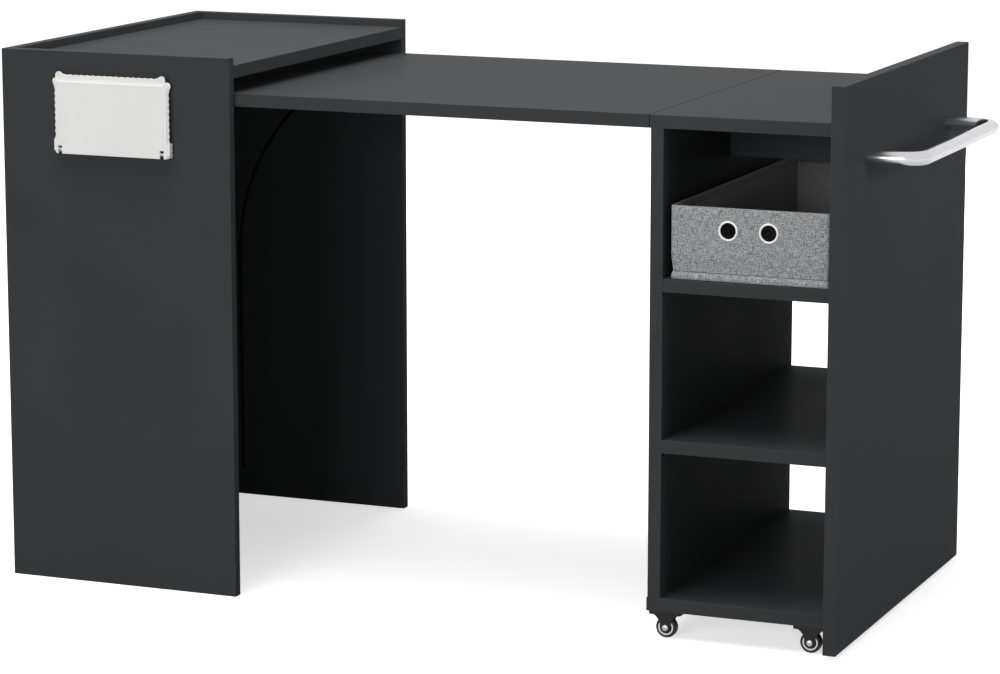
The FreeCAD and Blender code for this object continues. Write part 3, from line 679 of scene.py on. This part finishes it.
def make_handle():
    """The bent tube, swept in one piece with its length and girth as UV coordinates."""
    node = "handle"
    low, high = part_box("handle")
    radius = (high.z - low.z) / 2
    height = (high.z + low.z) / 2
    near, far = low.y + radius, high.y - radius
    corner = Vector((high.x - radius, near, height))
    path = [(Vector((low.x, near, height)), X_AXIS)]
    for turn in arc(RIGHT_ANGLE, BEND_STEPS):
        offset = Vector((math.sin(turn) - 1, 1 - math.cos(turn), 0)) * HANDLE_BEND
        path.append((corner + offset, Vector((math.cos(turn), math.sin(turn), 0))))
    path += [
        (Vector((point.x, near + far - point.y, point.z)), Vector((-ahead.x, ahead.y, 0)))
        for point, ahead in reversed(path)
    ]
    mesh = bmesh.new()
    layer = mesh.loops.layers.uv.new("length")
    rows = [ring(mesh, aimed(point, ahead), radius, 0, HANDLE_SIDES) for point, ahead in path]
    travel = 0.0
    for k in range(len(rows) - 1):
        longer = travel + (path[k + 1][0] - path[k][0]).length
        for j in range(HANDLE_SIDES):
            after = (j + 1) % HANDLE_SIDES
            face = mesh.faces.new((rows[k][j], rows[k][after], rows[k + 1][after], rows[k + 1][j]))
            girth = [math.tau * radius * step / HANDLE_SIDES for step in (j, j + 1)]
            places = ((travel, girth[0]), (travel, girth[1]), (longer, girth[1]), (longer, girth[0]))
            for loop, place in zip(face.loops, places):
                loop[layer].uv = place
        travel = longer
    mesh.faces.new(rows[0])
    mesh.faces.new(rows[-1])
    piece("handle_tube", mesh, [CHROME], BODIES[node], SLOTS[node], node)


# Casters

CORNERS = ("front_left", "front_right", "rear_left", "rear_right")
FLANGE = 5 * MM
FLANGE_CORNER = 5 * MM
CHEEK = 2 * MM
CHEEK_GAP = 7 * MM
CHEEK_LOBE = 7 * MM
CHEEK_FOOT = 22 * MM
CHEEK_STEPS = 12
FORK_ROUND = 0.5 * MM
TYRE_SHOULDER = 2.6 * MM
TYRE_ROUND = 0.2 * MM
SHOULDER_STEPS = 6
RIM_WIDTH = 2 * MM
RIM_PROUD = 0.3 * MM
RIM_ROUND = 0.4 * MM
HUB_DISH = 1.6 * MM
HUB_BOSS = 5.5 * MM
HUB_BORE = 2.05 * MM
HUB_ROUND = 0.4 * MM
AXLE_RADIUS = 2 * MM
AXLE_CAP_RADIUS = 4.3 * MM
AXLE_CAP_RISE = 1.4 * MM
AXLE_CAP_STEPS = 8
AXLE_DIMPLE = 1.3 * MM
# The dimple's floor: its radius as a share of the mouth's, and its height as a share of the cap's rise.
DIMPLE_FLOOR = (0.6, 0.55)


def cheek_outline(rise):
    """A fork cheek about its axle: a round lobe that sweeps out to the flange."""
    flare = CHEEK_FOOT - CHEEK_LOBE
    side = [
        (CHEEK_FOOT - flare * math.cos(turn), rise * math.sin(turn))
        for turn in arc(RIGHT_ANGLE, CHEEK_STEPS)
    ]
    lobe = [
        (CHEEK_LOBE * math.cos(turn), CHEEK_LOBE * math.sin(turn))
        for turn in arc(math.tau, 2 * CHEEK_STEPS, math.pi)[1:-1]
    ]
    return side + [(-x, z) for x, z in reversed(side)] + lobe


def make_fork(corner, axle):
    """A flange with round corners over two swept cheeks."""
    node = f"caster_fork_{corner}"
    low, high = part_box(f"caster_fork_{corner}")
    mesh = bmesh.new()
    plate = rounded_rectangle(high.x - low.x, high.y - low.y, FLANGE_CORNER)
    top = Vector((axle.x, axle.y, high.z))
    prism(mesh, plate, Matrix.Translation(top), -FLANGE, 0)
    outline = cheek_outline(high.z - FLANGE - axle.z)
    upright = Matrix.Translation(axle) @ Matrix.Rotation(RIGHT_ANGLE, 4, "X")
    for inner in (CHEEK_GAP, -CHEEK_GAP - CHEEK):
        prism(mesh, outline, upright, inner, inner + CHEEK)
    soften(piece(f"{node}_swept", mesh, [BLACK], BODIES[node], SLOTS[node], node), FORK_ROUND)


def make_wheel(corner, axle, radius, half):
    """A tyre with round shoulders, a white ring and a dished hub."""
    along = aimed(axle, Y_AXIS)
    ring_low, ring_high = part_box(f"wheel_rim_{corner}")
    outer = (ring_high.x - ring_low.x) / 2
    inner = outer - RIM_WIDTH
    proud = half + RIM_PROUD
    boss = CHEEK_GAP - RIM_PROUD
    dish = half - HUB_DISH
    tyre = [(outer, half)] + [
        (radius - TYRE_SHOULDER * (1 - math.sin(turn)), half - TYRE_SHOULDER * (1 - math.cos(turn)))
        for turn in arc(RIGHT_ANGLE, SHOULDER_STEPS)
    ]
    rim = [(inner, proud), (outer, proud)]
    hub = [(HUB_BORE, boss), (HUB_BOSS, boss), (HUB_BOSS, dish), (inner, dish)]
    for part, finish, profile, round_by in (
        ("tyre", RUBBER, tyre, TYRE_ROUND),
        ("rim", RING, rim, RIM_ROUND),
        ("hub", BLACK, hub, HUB_ROUND),
    ):
        node = f"wheel_{part}_{corner}"
        mesh = bmesh.new()
        lathe(mesh, along, profile + mirrored(profile))
        soften(piece(f"{node}_turned", mesh, [finish], BODIES[node], SLOTS[node], node), round_by)


def axle_cap(start):
    """Profile of a domed cap over a fork cheek, with a small dimple."""
    dome = [
        (AXLE_CAP_RADIUS * math.cos(turn), start + AXLE_CAP_RISE * math.sin(turn))
        for turn in arc(RIGHT_ANGLE, AXLE_CAP_STEPS)[:-2]
    ]
    across, up = DIMPLE_FLOOR
    return dome + [
        (AXLE_DIMPLE, start + AXLE_CAP_RISE), (across * AXLE_DIMPLE, start + up * AXLE_CAP_RISE),
    ]


def make_casters():
    """Forks and wheels, and the four axles with a cap at both ends."""
    mesh = bmesh.new()
    outside = CHEEK_GAP + CHEEK
    end = [(AXLE_RADIUS, outside)] + axle_cap(outside)
    for corner in CORNERS:
        low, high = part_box(f"wheel_tyre_{corner}")
        axle = (low + high) / 2
        make_fork(corner, axle)
        make_wheel(corner, axle, (high.z - low.z) / 2, (high.y - low.y) / 2)
        lathe(mesh, aimed(axle, Y_AXIS), mirrored(end) + end, HEAD_SIDES, closed=False)
    node = "caster_axles"
    piece(f"{node}_domed", mesh, [STEEL], BODIES[node], SLOTS[node], node)


# Linen bin

BIN_WALL = 4 * MM
BIN_CORNER = 4.5 * MM
BIN_CORNER_LEAST = 0.8 * MM
BIN_STEP = 3.2 * MM
# A longer run than this between two points of the outline is a straight side.
BIN_STRAIGHT = 32 * MM
BIN_HEM = 10 * MM
BIN_PINCH = 2.4 * MM
BIN_DRAW = 24 * MM
BIN_PUCKER = 0.35 * MM
BIN_PUCKERS = 130
BIN_BAND = 11 * MM
BIN_BAND_THICK = 0.6 * MM
BIN_STITCHED = 0.9 * MM
BIN_ROWS = 8
BIN_ROUND = 1.2 * MM
# How far a rounded edge's middle is in from both faces.
BIN_EASE = 0.3 * BIN_ROUND
BIN_SLACK = 0.5 * MM
BIN_FOLDS = 22
HEM_SHARES = (0.4, 0.7, 0.88, 1)
STITCH = 2.4 * MM
STITCH_PITCH = 3.8 * MM
STITCH_THICK = 0.35 * MM
STITCH_TIP = 0.3 * STITCH_THICK
STITCH_SIDES = 6
BAND_STITCH_RISE = 1.5 * MM
BAND_STITCH_SUNK = 0.1 * MM
EYELET_SLEEVE = 11.6 * MM
EYELET_HOLE = 10.7 * MM
EYELET_STEPS = 8
EYELET_SIDES = 64
# The order of the bin's finishes.
OUTSIDE, BAND_AND_TOP_SHADE, INSIDE, SEWN = range(4)


def bin_section(height):
    """The wall's section, from the foot over the top to the inside.

    Each row is a distance in from the outside, a height and the finish of the strip that ends there.
    """
    rows = [(BIN_ROUND, 0.0, OUTSIDE), (BIN_EASE, BIN_EASE, OUTSIDE), (0.0, BIN_ROUND, OUTSIDE)]
    for share in HEM_SHARES:
        rows.append((BIN_PINCH * share ** 3, BIN_ROUND + (BIN_HEM - BIN_ROUND) * share, OUTSIDE))
    for k in range(BIN_ROWS + 1):
        share = k / BIN_ROWS
        inset = BIN_PINCH * (1 - eased(share))
        rows.append((inset, BIN_HEM + BIN_STITCHED + BIN_DRAW * share, OUTSIDE if k else SEWN))
    drawn = rows[-1][1]
    for k in range(1, BIN_ROWS + 1):
        rows.append((0.0, drawn + (height - BIN_ROUND - drawn) * k / BIN_ROWS, OUTSIDE))
    rows += [(BIN_EASE, height - BIN_EASE, OUTSIDE), (BIN_ROUND, height, OUTSIDE)]
    # The wall's top face takes the darker band finish: partly the hem band's own tone, partly painted
    # shade that keeps the top from catching light.
    rows += [(BIN_WALL - BIN_ROUND, height, BAND_AND_TOP_SHADE), (BIN_WALL - BIN_EASE, height - BIN_EASE, BAND_AND_TOP_SHADE)]
    band = height - BIN_BAND
    rows += [(BIN_WALL, height - BIN_ROUND, BAND_AND_TOP_SHADE), (BIN_WALL, band, BAND_AND_TOP_SHADE)]
    lining = BIN_WALL - BIN_BAND_THICK
    for k in range(BIN_ROWS + 1):
        rows.append((lining, band - (band - BIN_WALL) * k / BIN_ROWS, INSIDE))
    return rows


def bin_outline(low, high, inset):
    """Points round the bin, inset from its outside, as many at any inset."""
    middle = (low + high) / 2
    size = high - low
    corner = max(BIN_CORNER - inset, BIN_CORNER_LEAST)
    turns = rounded_rectangle(size.x - 2 * inset, size.y - 2 * inset, corner)
    points = []
    for point, after in zip(turns, turns[1:] + turns[:1]):
        run = after - point
        count = 1
        if run.length > BIN_STRAIGHT:
            count = round((size.x if abs(run.x) > abs(run.y) else size.y) / BIN_STEP)
        points += [point.lerp(after, k / count) for k in range(count)]
    return [Vector((middle.x + p.x, middle.y + p.y, 0)) for p in points]


def stitch_row(mesh, low, high, inset, height):
    """Short thread stitches round the bin at a height."""
    half = [(STITCH_TIP, -STITCH / 2), (STITCH_THICK, -STITCH / 4)]
    points = bin_outline(low, high, inset)
    spare = 0.0
    for k, point in enumerate(points):
        ahead = points[(k + 1) % len(points)] - point
        spare += ahead.length
        if spare < STITCH_PITCH:
            continue
        spare -= STITCH_PITCH
        middle = point + ahead / 2
        middle.z = low.z + height
        lathe(mesh, aimed(middle, ahead), half + mirrored(half), STITCH_SIDES, closed=False)


def make_bin():
    """The linen bin: a swept wall with a drawn-in foot seam, a lined inside and two eyelet holes."""
    node = "bin_body"
    low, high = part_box("bin_body")
    height = high.z - low.z
    centre = Vector(((low.x + high.x) / 2, (low.y + high.y) / 2, 0))
    mesh = bmesh.new()
    rows = []
    section = bin_section(height)
    for inset, level, _ in section:
        row = []
        for point in bin_outline(low, high, inset):
            slack = BIN_SLACK * math.sin(math.pi * level / height) * abs(noise.noise(point * BIN_FOLDS))
            gathered = math.exp(-abs(level - BIN_HEM) / BIN_HEM)
            slack += BIN_PUCKER * gathered * abs(noise.noise(point * BIN_PUCKERS))
            inward = (centre - point).normalized()
            row.append(mesh.verts.new(point + inward * slack + Z_AXIS * (low.z + level)))
        rows.append(row)
    for (_, _, finish), lower, upper in zip(section[1:], rows, rows[1:]):
        bridge(mesh, lower, upper, finish)
    mesh.faces.new(rows[0])
    mesh.faces.new(rows[-1]).material_index = INSIDE
    body = piece("bin_cover", mesh, [LINEN, HEM_AND_TOP_SHADE, LINING, SEAM], BODIES[node], SLOTS[node], node)
    cutter = bmesh.new()
    for eyelet_low, eyelet_high in solids("bin_eyelets"):
        reach = eyelet_high.y - eyelet_low.y
        along = aimed((eyelet_low + eyelet_high) / 2, Y_AXIS)
        lathe(cutter, along, [(EYELET_SLEEVE, -reach), (EYELET_SLEEVE, reach)], closed=False)
    drilled(body, cutter)
    box_unwrap(body)
    thread = bmesh.new()
    stitch_row(thread, low, high, BIN_PINCH, BIN_HEM)
    stitch_row(thread, low, high, BIN_WALL - BAND_STITCH_SUNK, height - BIN_BAND + BAND_STITCH_RISE)
    piece("bin_stitches", thread, [THREAD], BODIES[node], SLOTS[node])


def make_eyelets():
    """Rolled rings: a round lip outside, a sleeve through the wall and a flat washer inside, the sleeve
    and washer in near-black painted shade.
    """
    node = "bin_eyelets"
    face = BIN_WALL / 2
    mesh = bmesh.new()
    for low, high in solids(node):
        outer = (high.x - low.x) / 2
        half = (high.y - low.y) / 2
        roll = (outer - EYELET_HOLE) / 2
        bead = [
            (EYELET_HOLE + roll * (1 - math.cos(turn)), face + (half - face) * math.sin(turn))
            for turn in arc(math.pi, EYELET_STEPS)
        ]
        sleeve = [(EYELET_SLEEVE, face), (EYELET_SLEEVE, -face)]
        washer = [(outer, -face), (outer, -half), (EYELET_HOLE, -half)]
        # The sleeve and washer take the black plastic finish as painted shade, so the hole reads dark.
        finishes = [0] * len(bead) + [1] * len(sleeve + washer)
        along = aimed((low + high) / 2, -Y_AXIS)
        lathe(mesh, along, bead + sleeve + washer, EYELET_SIDES, finishes=finishes)
    piece("bin_eyelet_rings", mesh, [RING, BLACK], BODIES[node], SLOTS[node], node)


# Side tray

DISH_SHEET = 2 * MM
DISH_ROUND = 0.4 * MM
SIDE_DEPTH = 4.8 * MM
SIDE_SET = 9.2 * MM
SIDE_PROUD = 2.4 * MM
SIDE_OVERHANG = 5 * MM
TOP_DEPTH = 1.8 * MM
TOP_SET = 14 * MM
TOP_PROUD = 3.4 * MM
TOP_OVERHANG = 2.6 * MM
# Each step of the inner ledge: share of the rim's width, depth below the floor.
LEDGE = ((0.0, 0.0), (0.17, 1.2 * MM), (0.55, 1.5 * MM))
LIP_SHARES = (0.4, 0.8, 0.9, 1.0)
LIP_START = 0.8
BEAD_PITCH = 9 * MM
BEAD_STEP = 1.1 * MM
BEAD_RISE = 1 * MM
BEAD_SWELL = 0.6 * MM
BULB_LENGTH = 14 * MM
BULB_FADE = 8 * MM
BULB_ROUND = 4.5 * MM
FOOT_ROUND = 2 * MM
ROUND_STEPS = 8
NOTCH_IN = 6.7 * MM
NOTCH_RISE = 10.5 * MM
FOLD_INSET = 8.4 * MM
CORNER_CLEAR = 5 * MM
EAR_INSET = 1.5 * MM
EAR_THICK = 5.5 * MM
EAR_RADIUS = 4 * MM
EAR_PITCH = 6.5 * MM
EAR_BEADS = 3
EAR_FRONT = 5.5 * MM
EAR_STEPS = 10
BAR_RISE = 6.7 * MM
BAR_THICK = 1.6 * MM
BAR_ROUND = 0.5 * MM
BAR_BITE = 0.5 * MM
PIN_ROOM = 0.05 * MM
# Turns an outline's x and y to y and z, and its thickness along x.
ALONG_X = Matrix(((0, 0, 1, 0), (1, 0, 0, 0), (0, 1, 0, 0), (0, 0, 0, 1)))


class Rim:
    """One rim of the side tray: a ledge along the floor, then a sloped lip with beads and end bulbs."""

    def __init__(self, run, width, proud, depth, rounds):
        self.run = run
        self.width = width
        self.proud = proud
        self.depth = depth
        self.rounds = rounds
        self.beads = round((run[1] - run[0]) / BEAD_PITCH)
        first, last = run[0] + rounds[0], run[1] - rounds[1]
        steps = round((last - first) / BEAD_STEP)
        eases = [1 - math.cos(turn) for turn in arc(RIGHT_ANGLE, ROUND_STEPS)[:-1]]
        self.places = [run[0] + rounds[0] * ease for ease in eases]
        self.places += [first + (last - first) * k / steps for k in range(steps + 1)]
        self.places += [run[1] - rounds[1] * ease for ease in reversed(eases)]

    def share(self, along):
        """Where a place is on the run, from 0 to 1."""
        return (along - self.run[0]) / (self.run[1] - self.run[0])

    def ends(self, along):
        """The distance to each end and the size of its round."""
        return zip((along - self.run[0], self.run[1] - along), self.rounds)

    def bulb(self, along):
        """1 in a bulb at an end with a large round, fading to 0 along the edge."""
        bulbs = [gap for gap, end in self.ends(along) if end == BULB_ROUND]
        return max(eased((BULB_LENGTH - gap) / BULB_FADE) for gap in bulbs)

    def swell(self, along):
        """How much a bead or bulb fills out the lip, from 0 to 1."""
        wave = (1 - math.cos(math.tau * self.beads * self.share(along))) / 2
        return wave + (1 - wave) * self.bulb(along)

    def reach(self, along):
        """How far the edge is from the fold line, seen from the front."""
        reach = self.width + BEAD_RISE * self.swell(along) + self.proud * self.bulb(along)
        for gap, end in self.ends(along):
            if gap < end:
                reach -= end - math.sqrt(max(end ** 2 - (end - gap) ** 2, 0))
        return reach

    def build(self, mesh, roots, place):
        """Adds the rim's faces between the ends of its ledge rows and returns its row on the floor."""
        rows = []
        for (low, high), (share, deep) in zip(roots, LEDGE):
            out = share * self.width
            starts = [low + (high - low) * self.share(along) for along in self.places]
            rows.append([mesh.verts.new(place(start, out, deep)) for start in starts])
        fall = self.depth - deep
        slope = math.atan2(fall, (1 - share) * self.width * LIP_START)
        for lip in LIP_SHARES:
            row = []
            for along, start in zip(self.places, starts):
                edge = out + (self.reach(along) - out) * lip
                lift = BEAD_SWELL * self.swell(along) * lip ** 2
                depth = deep + fall * min(lip / LIP_START, 1) - lift * math.cos(slope)
                row.append(mesh.verts.new(place(start + (along - start) * lip, edge, depth)))
            rows.append(row)
        for lower, upper in zip(rows, rows[1:]):
            bridge(mesh, lower, upper, closed=False)
        return rows[0]


def make_side_tray():
    """The moulded tray: one sheet with hinge notches, a ledge and lips that part at the corners."""
    node = "side_tray"
    low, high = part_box("side_tray")
    face, foot = low.y, low.z
    left, right = low.x + SIDE_SET, high.x - SIDE_SET
    head = high.z - TOP_SET
    side_width = SIDE_SET - SIDE_PROUD - BEAD_RISE
    top_width = TOP_SET - TOP_PROUD - BEAD_RISE
    top_run = (left - TOP_OVERHANG, right + TOP_OVERHANG)
    top = Rim(top_run, top_width, TOP_PROUD, TOP_DEPTH, (BULB_ROUND, BULB_ROUND))
    side_run = (foot, head + SIDE_OVERHANG)
    side = Rim(side_run, side_width, SIDE_PROUD, SIDE_DEPTH, (FOOT_ROUND, BULB_ROUND))
    top_roots = [(left - share * side_width, right + share * side_width) for share, _ in LEDGE]
    side_roots = [(foot, head + share * top_width) for share, _ in LEDGE]

    def on_top(along, out, deep):
        return Vector((along, face + deep, head + out))

    def on_left(along, out, deep):
        return Vector((left - out, face + deep, along))

    def on_right(along, out, deep):
        return Vector((right + out, face + deep, along))

    mesh = bmesh.new()
    rounding = mesh.edges.layers.float.new("bevel_weight_edge")
    top_row = top.build(mesh, top_roots, on_top)
    left_row = side.build(mesh, side_roots, on_left)
    right_row = side.build(mesh, side_roots, on_right)
    joined = next(k for k, point in enumerate(left_row) if point.co.z >= foot + NOTCH_RISE)
    notch_top = left_row[joined].co.z
    notch_left, notch_right = low.x + FOLD_INSET + NOTCH_IN, high.x - FOLD_INSET - NOTCH_IN
    corners = (
        (notch_right, notch_top), (notch_right, foot), (notch_left, foot), (notch_left, notch_top),
    )
    notches = [mesh.verts.new((x, face, z)) for x, z in corners]
    mesh.faces.new(left_row[joined:] + top_row[1:-1] + right_row[:joined - 1:-1] + notches)
    bmesh.ops.remove_doubles(mesh, verts=mesh.verts, dist=WELD)
    copied = bmesh.ops.duplicate(mesh, geom=mesh.faces[:] + mesh.edges[:] + mesh.verts[:])
    rear = [item for item in copied["geom"] if isinstance(item, bmesh.types.BMVert)]
    bmesh.ops.translate(mesh, verts=rear, vec=Y_AXIS * DISH_SHEET)
    rims = [edge for edge in mesh.edges if edge.is_boundary]
    tight = [(left, head), (right, head), (left - side_width / 2, foot), (right + side_width / 2, foot)]
    for edge in rims:
        middle = (edge.verts[0].co + edge.verts[1].co) / 2
        gaps = [math.hypot(middle.x - x, middle.z - z) for x, z in tight]
        edge[rounding] = float(min(gaps) > CORNER_CLEAR)
    bmesh.ops.bridge_loops(mesh, edges=rims)
    tray = piece("side_tray_moulding", mesh, [WHITE], BODIES[node], SLOTS[node], node)
    soften(tray, DISH_ROUND)
    tray.modifiers["rounded_edges"].limit_method = "WEIGHT"
    tray.modifiers["flat_faces"].keep_sharp = True


def ear_outline():
    """A lug seen from the side: a flat front and a back of round beads."""
    highest = EAR_PITCH * (EAR_BEADS - 1)
    valley = math.asin(EAR_PITCH / 2 / EAR_RADIUS)
    outline = [(-EAR_FRONT, highest + EAR_RADIUS / 2), (-EAR_FRONT, 0)]
    for bead in range(EAR_BEADS):
        start = -RIGHT_ANGLE if bead == 0 else -valley
        stop = RIGHT_ANGLE if bead == EAR_BEADS - 1 else valley
        first = 0 if bead == 0 else 1
        outline += [
            (EAR_RADIUS * math.cos(turn), EAR_PITCH * bead + EAR_RADIUS * math.sin(turn))
            for turn in arc(stop, EAR_STEPS, start)[first:]
        ]
    return outline


def make_ears():
    """The two lugs that turn on the bracket pins, and a thin bar across each notch."""
    node = "side_tray"
    low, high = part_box("side_tray")
    left, right = low.x + FOLD_INSET, high.x - FOLD_INSET
    lugs = bmesh.new()
    bores = bmesh.new()
    starts = (left - EAR_INSET - EAR_THICK, right + EAR_INSET)
    for start, (pin_low, pin_high) in zip(starts, solids("side_tray_pins")):
        stop = start + EAR_THICK
        axis = (pin_low + pin_high) / 2
        axis.x = 0
        prism(lugs, ear_outline(), Matrix.Translation(axis) @ ALONG_X, start, stop)
        radius = (pin_high.z - pin_low.z) / 2 + PIN_ROOM
        bore = [(radius, start - EAR_THICK), (radius, stop + EAR_THICK)]
        lathe(bores, aimed(axis, X_AXIS), bore, HEAD_SIDES, closed=False)
    section = rounded_rectangle(DISH_SHEET, BAR_THICK, BAR_ROUND)
    level = Matrix.Translation((0, low.y + DISH_SHEET / 2, low.z + BAR_RISE)) @ ALONG_X
    for start, stop in ((low.x + SIDE_SET, left + NOTCH_IN), (right - NOTCH_IN, high.x - SIDE_SET)):
        prism(lugs, section, level, start - BAR_BITE, stop + BAR_BITE)
    ears = piece("side_tray_ears", lugs, [WHITE], BODIES[node], SLOTS[node])
    soften(drilled(ears, bores), DISH_ROUND)


# Stage, light and camera

PURE_WHITE = (1, 1, 1, 1)
FLOOR_SIZE = 60
# The floor's own light and where it fades: near the table and far from it.
FLOOR_GLOW = (0.62, 0.97)
FLOOR_FADE = (0.9, 3.2)
# The floor's colour for light on its way to the table, and as the camera sees it.
FLOOR_TONE = (0.25, 0.88)
AMBIENT = 0.12
CAMERA_AT = (2.58605, -4.74179, 1.29789)
CAMERA_YAW = math.radians(22.372)
CAMERA_PITCH = math.radians(10.579)
CAMERA_LENS = 130.74
TARGET = Vector((0.62, 0.0, 0.45))
# Each lamp: name, place, width and height in metres, power in watts.
LAMPS = (
    ("overhead", (0.3, -0.3, 3.2), (3.0, 3.0), 110),
    ("front", (0.2, -4.8, 1.3), (2.6, 1.2), 103),
    ("fill", (2.9, -4.2, 0.75), (2.0, 1.2), 19),
    ("back", (0.9, 4.6, 0.7), (2.4, 1.2), 62),
    ("left", (-4.0, 0.0, 1.6), (2.4, 2.4), 84),
    ("right", (5.2, 0.0, 1.6), (2.4, 1.6), 70),
)
# The one lamp that shows in the chrome.
MIRRORED_LAMP = "front"


def seen_directly(nodes):
    """1 for rays from the camera and those that metal or glass turns, 0 for other light."""
    path = nodes.add("LightPath")
    seen = path.outputs["Is Camera Ray"]
    for name in ("Is Glossy Ray", "Is Transmission Ray"):
        seen = nodes.math("MAXIMUM", seen, path.outputs[name])
    return seen


def make_world():
    """Weak even light, seen as plain white."""
    world = bpy.data.worlds.new("studio")
    bpy.context.scene.world = world
    world.use_nodes = True
    nodes = Nodes(world.node_tree)
    lit = nodes.tree.nodes["Background"]
    shown = nodes.add("Background")
    for background, strength in ((lit, AMBIENT), (shown, 1.0)):
        background.inputs["Color"].default_value = PURE_WHITE
        background.inputs["Strength"].default_value = strength
    mix = nodes.add("MixShader")
    nodes.put(seen_directly(nodes), mix.inputs["Fac"])
    nodes.put(lit.outputs["Background"], mix.inputs[1])
    nodes.put(shown.outputs["Background"], mix.inputs[2])
    nodes.put(mix.outputs["Shader"], nodes.tree.nodes["World Output"].inputs["Surface"])


def floor_material():
    """Matte white that glows more the farther it is from the table."""
    material = bpy.data.materials.new("studio_floor")
    material.use_nodes = True
    nodes = Nodes(material.node_tree)
    nodes.tree.nodes.clear()
    matte = nodes.add("BsdfDiffuse")
    by_camera = nodes.add("LightPath").outputs["Is Camera Ray"]
    nodes.put(nodes.scaled(by_camera, *FLOOR_TONE, start=0, stop=1), matte.inputs["Color"])
    away = nodes.add("VectorMath", operation="DISTANCE")
    nodes.put(nodes.add("TexCoord").outputs["Object"], away.inputs[0])
    nodes.put(TARGET * Vector((1, 1, 0)), away.inputs[1])
    strength = nodes.scaled(away.outputs["Value"], *FLOOR_GLOW, *FLOOR_FADE)
    glow = nodes.add("Emission")
    nodes.put(nodes.math("MULTIPLY", seen_directly(nodes), strength), glow.inputs["Strength"])
    both = nodes.add("AddShader")
    nodes.put(matte.outputs["BSDF"], both.inputs[0])
    nodes.put(glow.outputs["Emission"], both.inputs[1])
    nodes.put(both.outputs["Shader"], nodes.add("OutputMaterial").inputs["Surface"])
    return material


def make_floor():
    """A white floor that keeps the table's soft shadow."""
    mesh = bmesh.new()
    bmesh.ops.create_grid(mesh, x_segments=1, y_segments=1, size=FLOOR_SIZE / 2)
    data = bpy.data.meshes.new("floor")
    mesh.to_mesh(data)
    mesh.free()
    data.materials.append(floor_material())
    floor = bpy.data.objects.new("floor", data)
    bpy.context.scene.collection.objects.link(floor)


def make_lamps():
    """Area lamps that look at the table."""
    for name, at, (width, height), power in LAMPS:
        lamp = bpy.data.lights.new(name, "AREA")
        lamp.shape = "RECTANGLE"
        lamp.size = width
        lamp.size_y = height
        lamp.energy = power
        holder = bpy.data.objects.new(name, lamp)
        holder.location = at
        holder.visible_glossy = name == MIRRORED_LAMP
        holder.rotation_euler = (TARGET - Vector(at)).to_track_quat("-Z", "Y").to_euler()
        bpy.context.scene.collection.objects.link(holder)


def make_camera():
    """The camera at the photo's viewpoint, tilted down at the table."""
    camera = bpy.data.cameras.new("photo_view")
    camera.lens = CAMERA_LENS
    holder = bpy.data.objects.new("photo_view", camera)
    holder.location = CAMERA_AT
    holder.rotation_euler = (RIGHT_ANGLE - CAMERA_PITCH, 0, CAMERA_YAW)
    bpy.context.scene.collection.objects.link(holder)
    bpy.context.scene.camera = holder
    bpy.context.scene.view_settings.view_transform = "Standard"


for carried_node in SLOTS:
    dress(carried_node)
make_screws()
make_cam_locks()
make_handle()
make_casters()
make_bin()
make_eyelets()
make_side_tray()
make_ears()
make_world()
make_floor()
make_lamps()
make_camera()
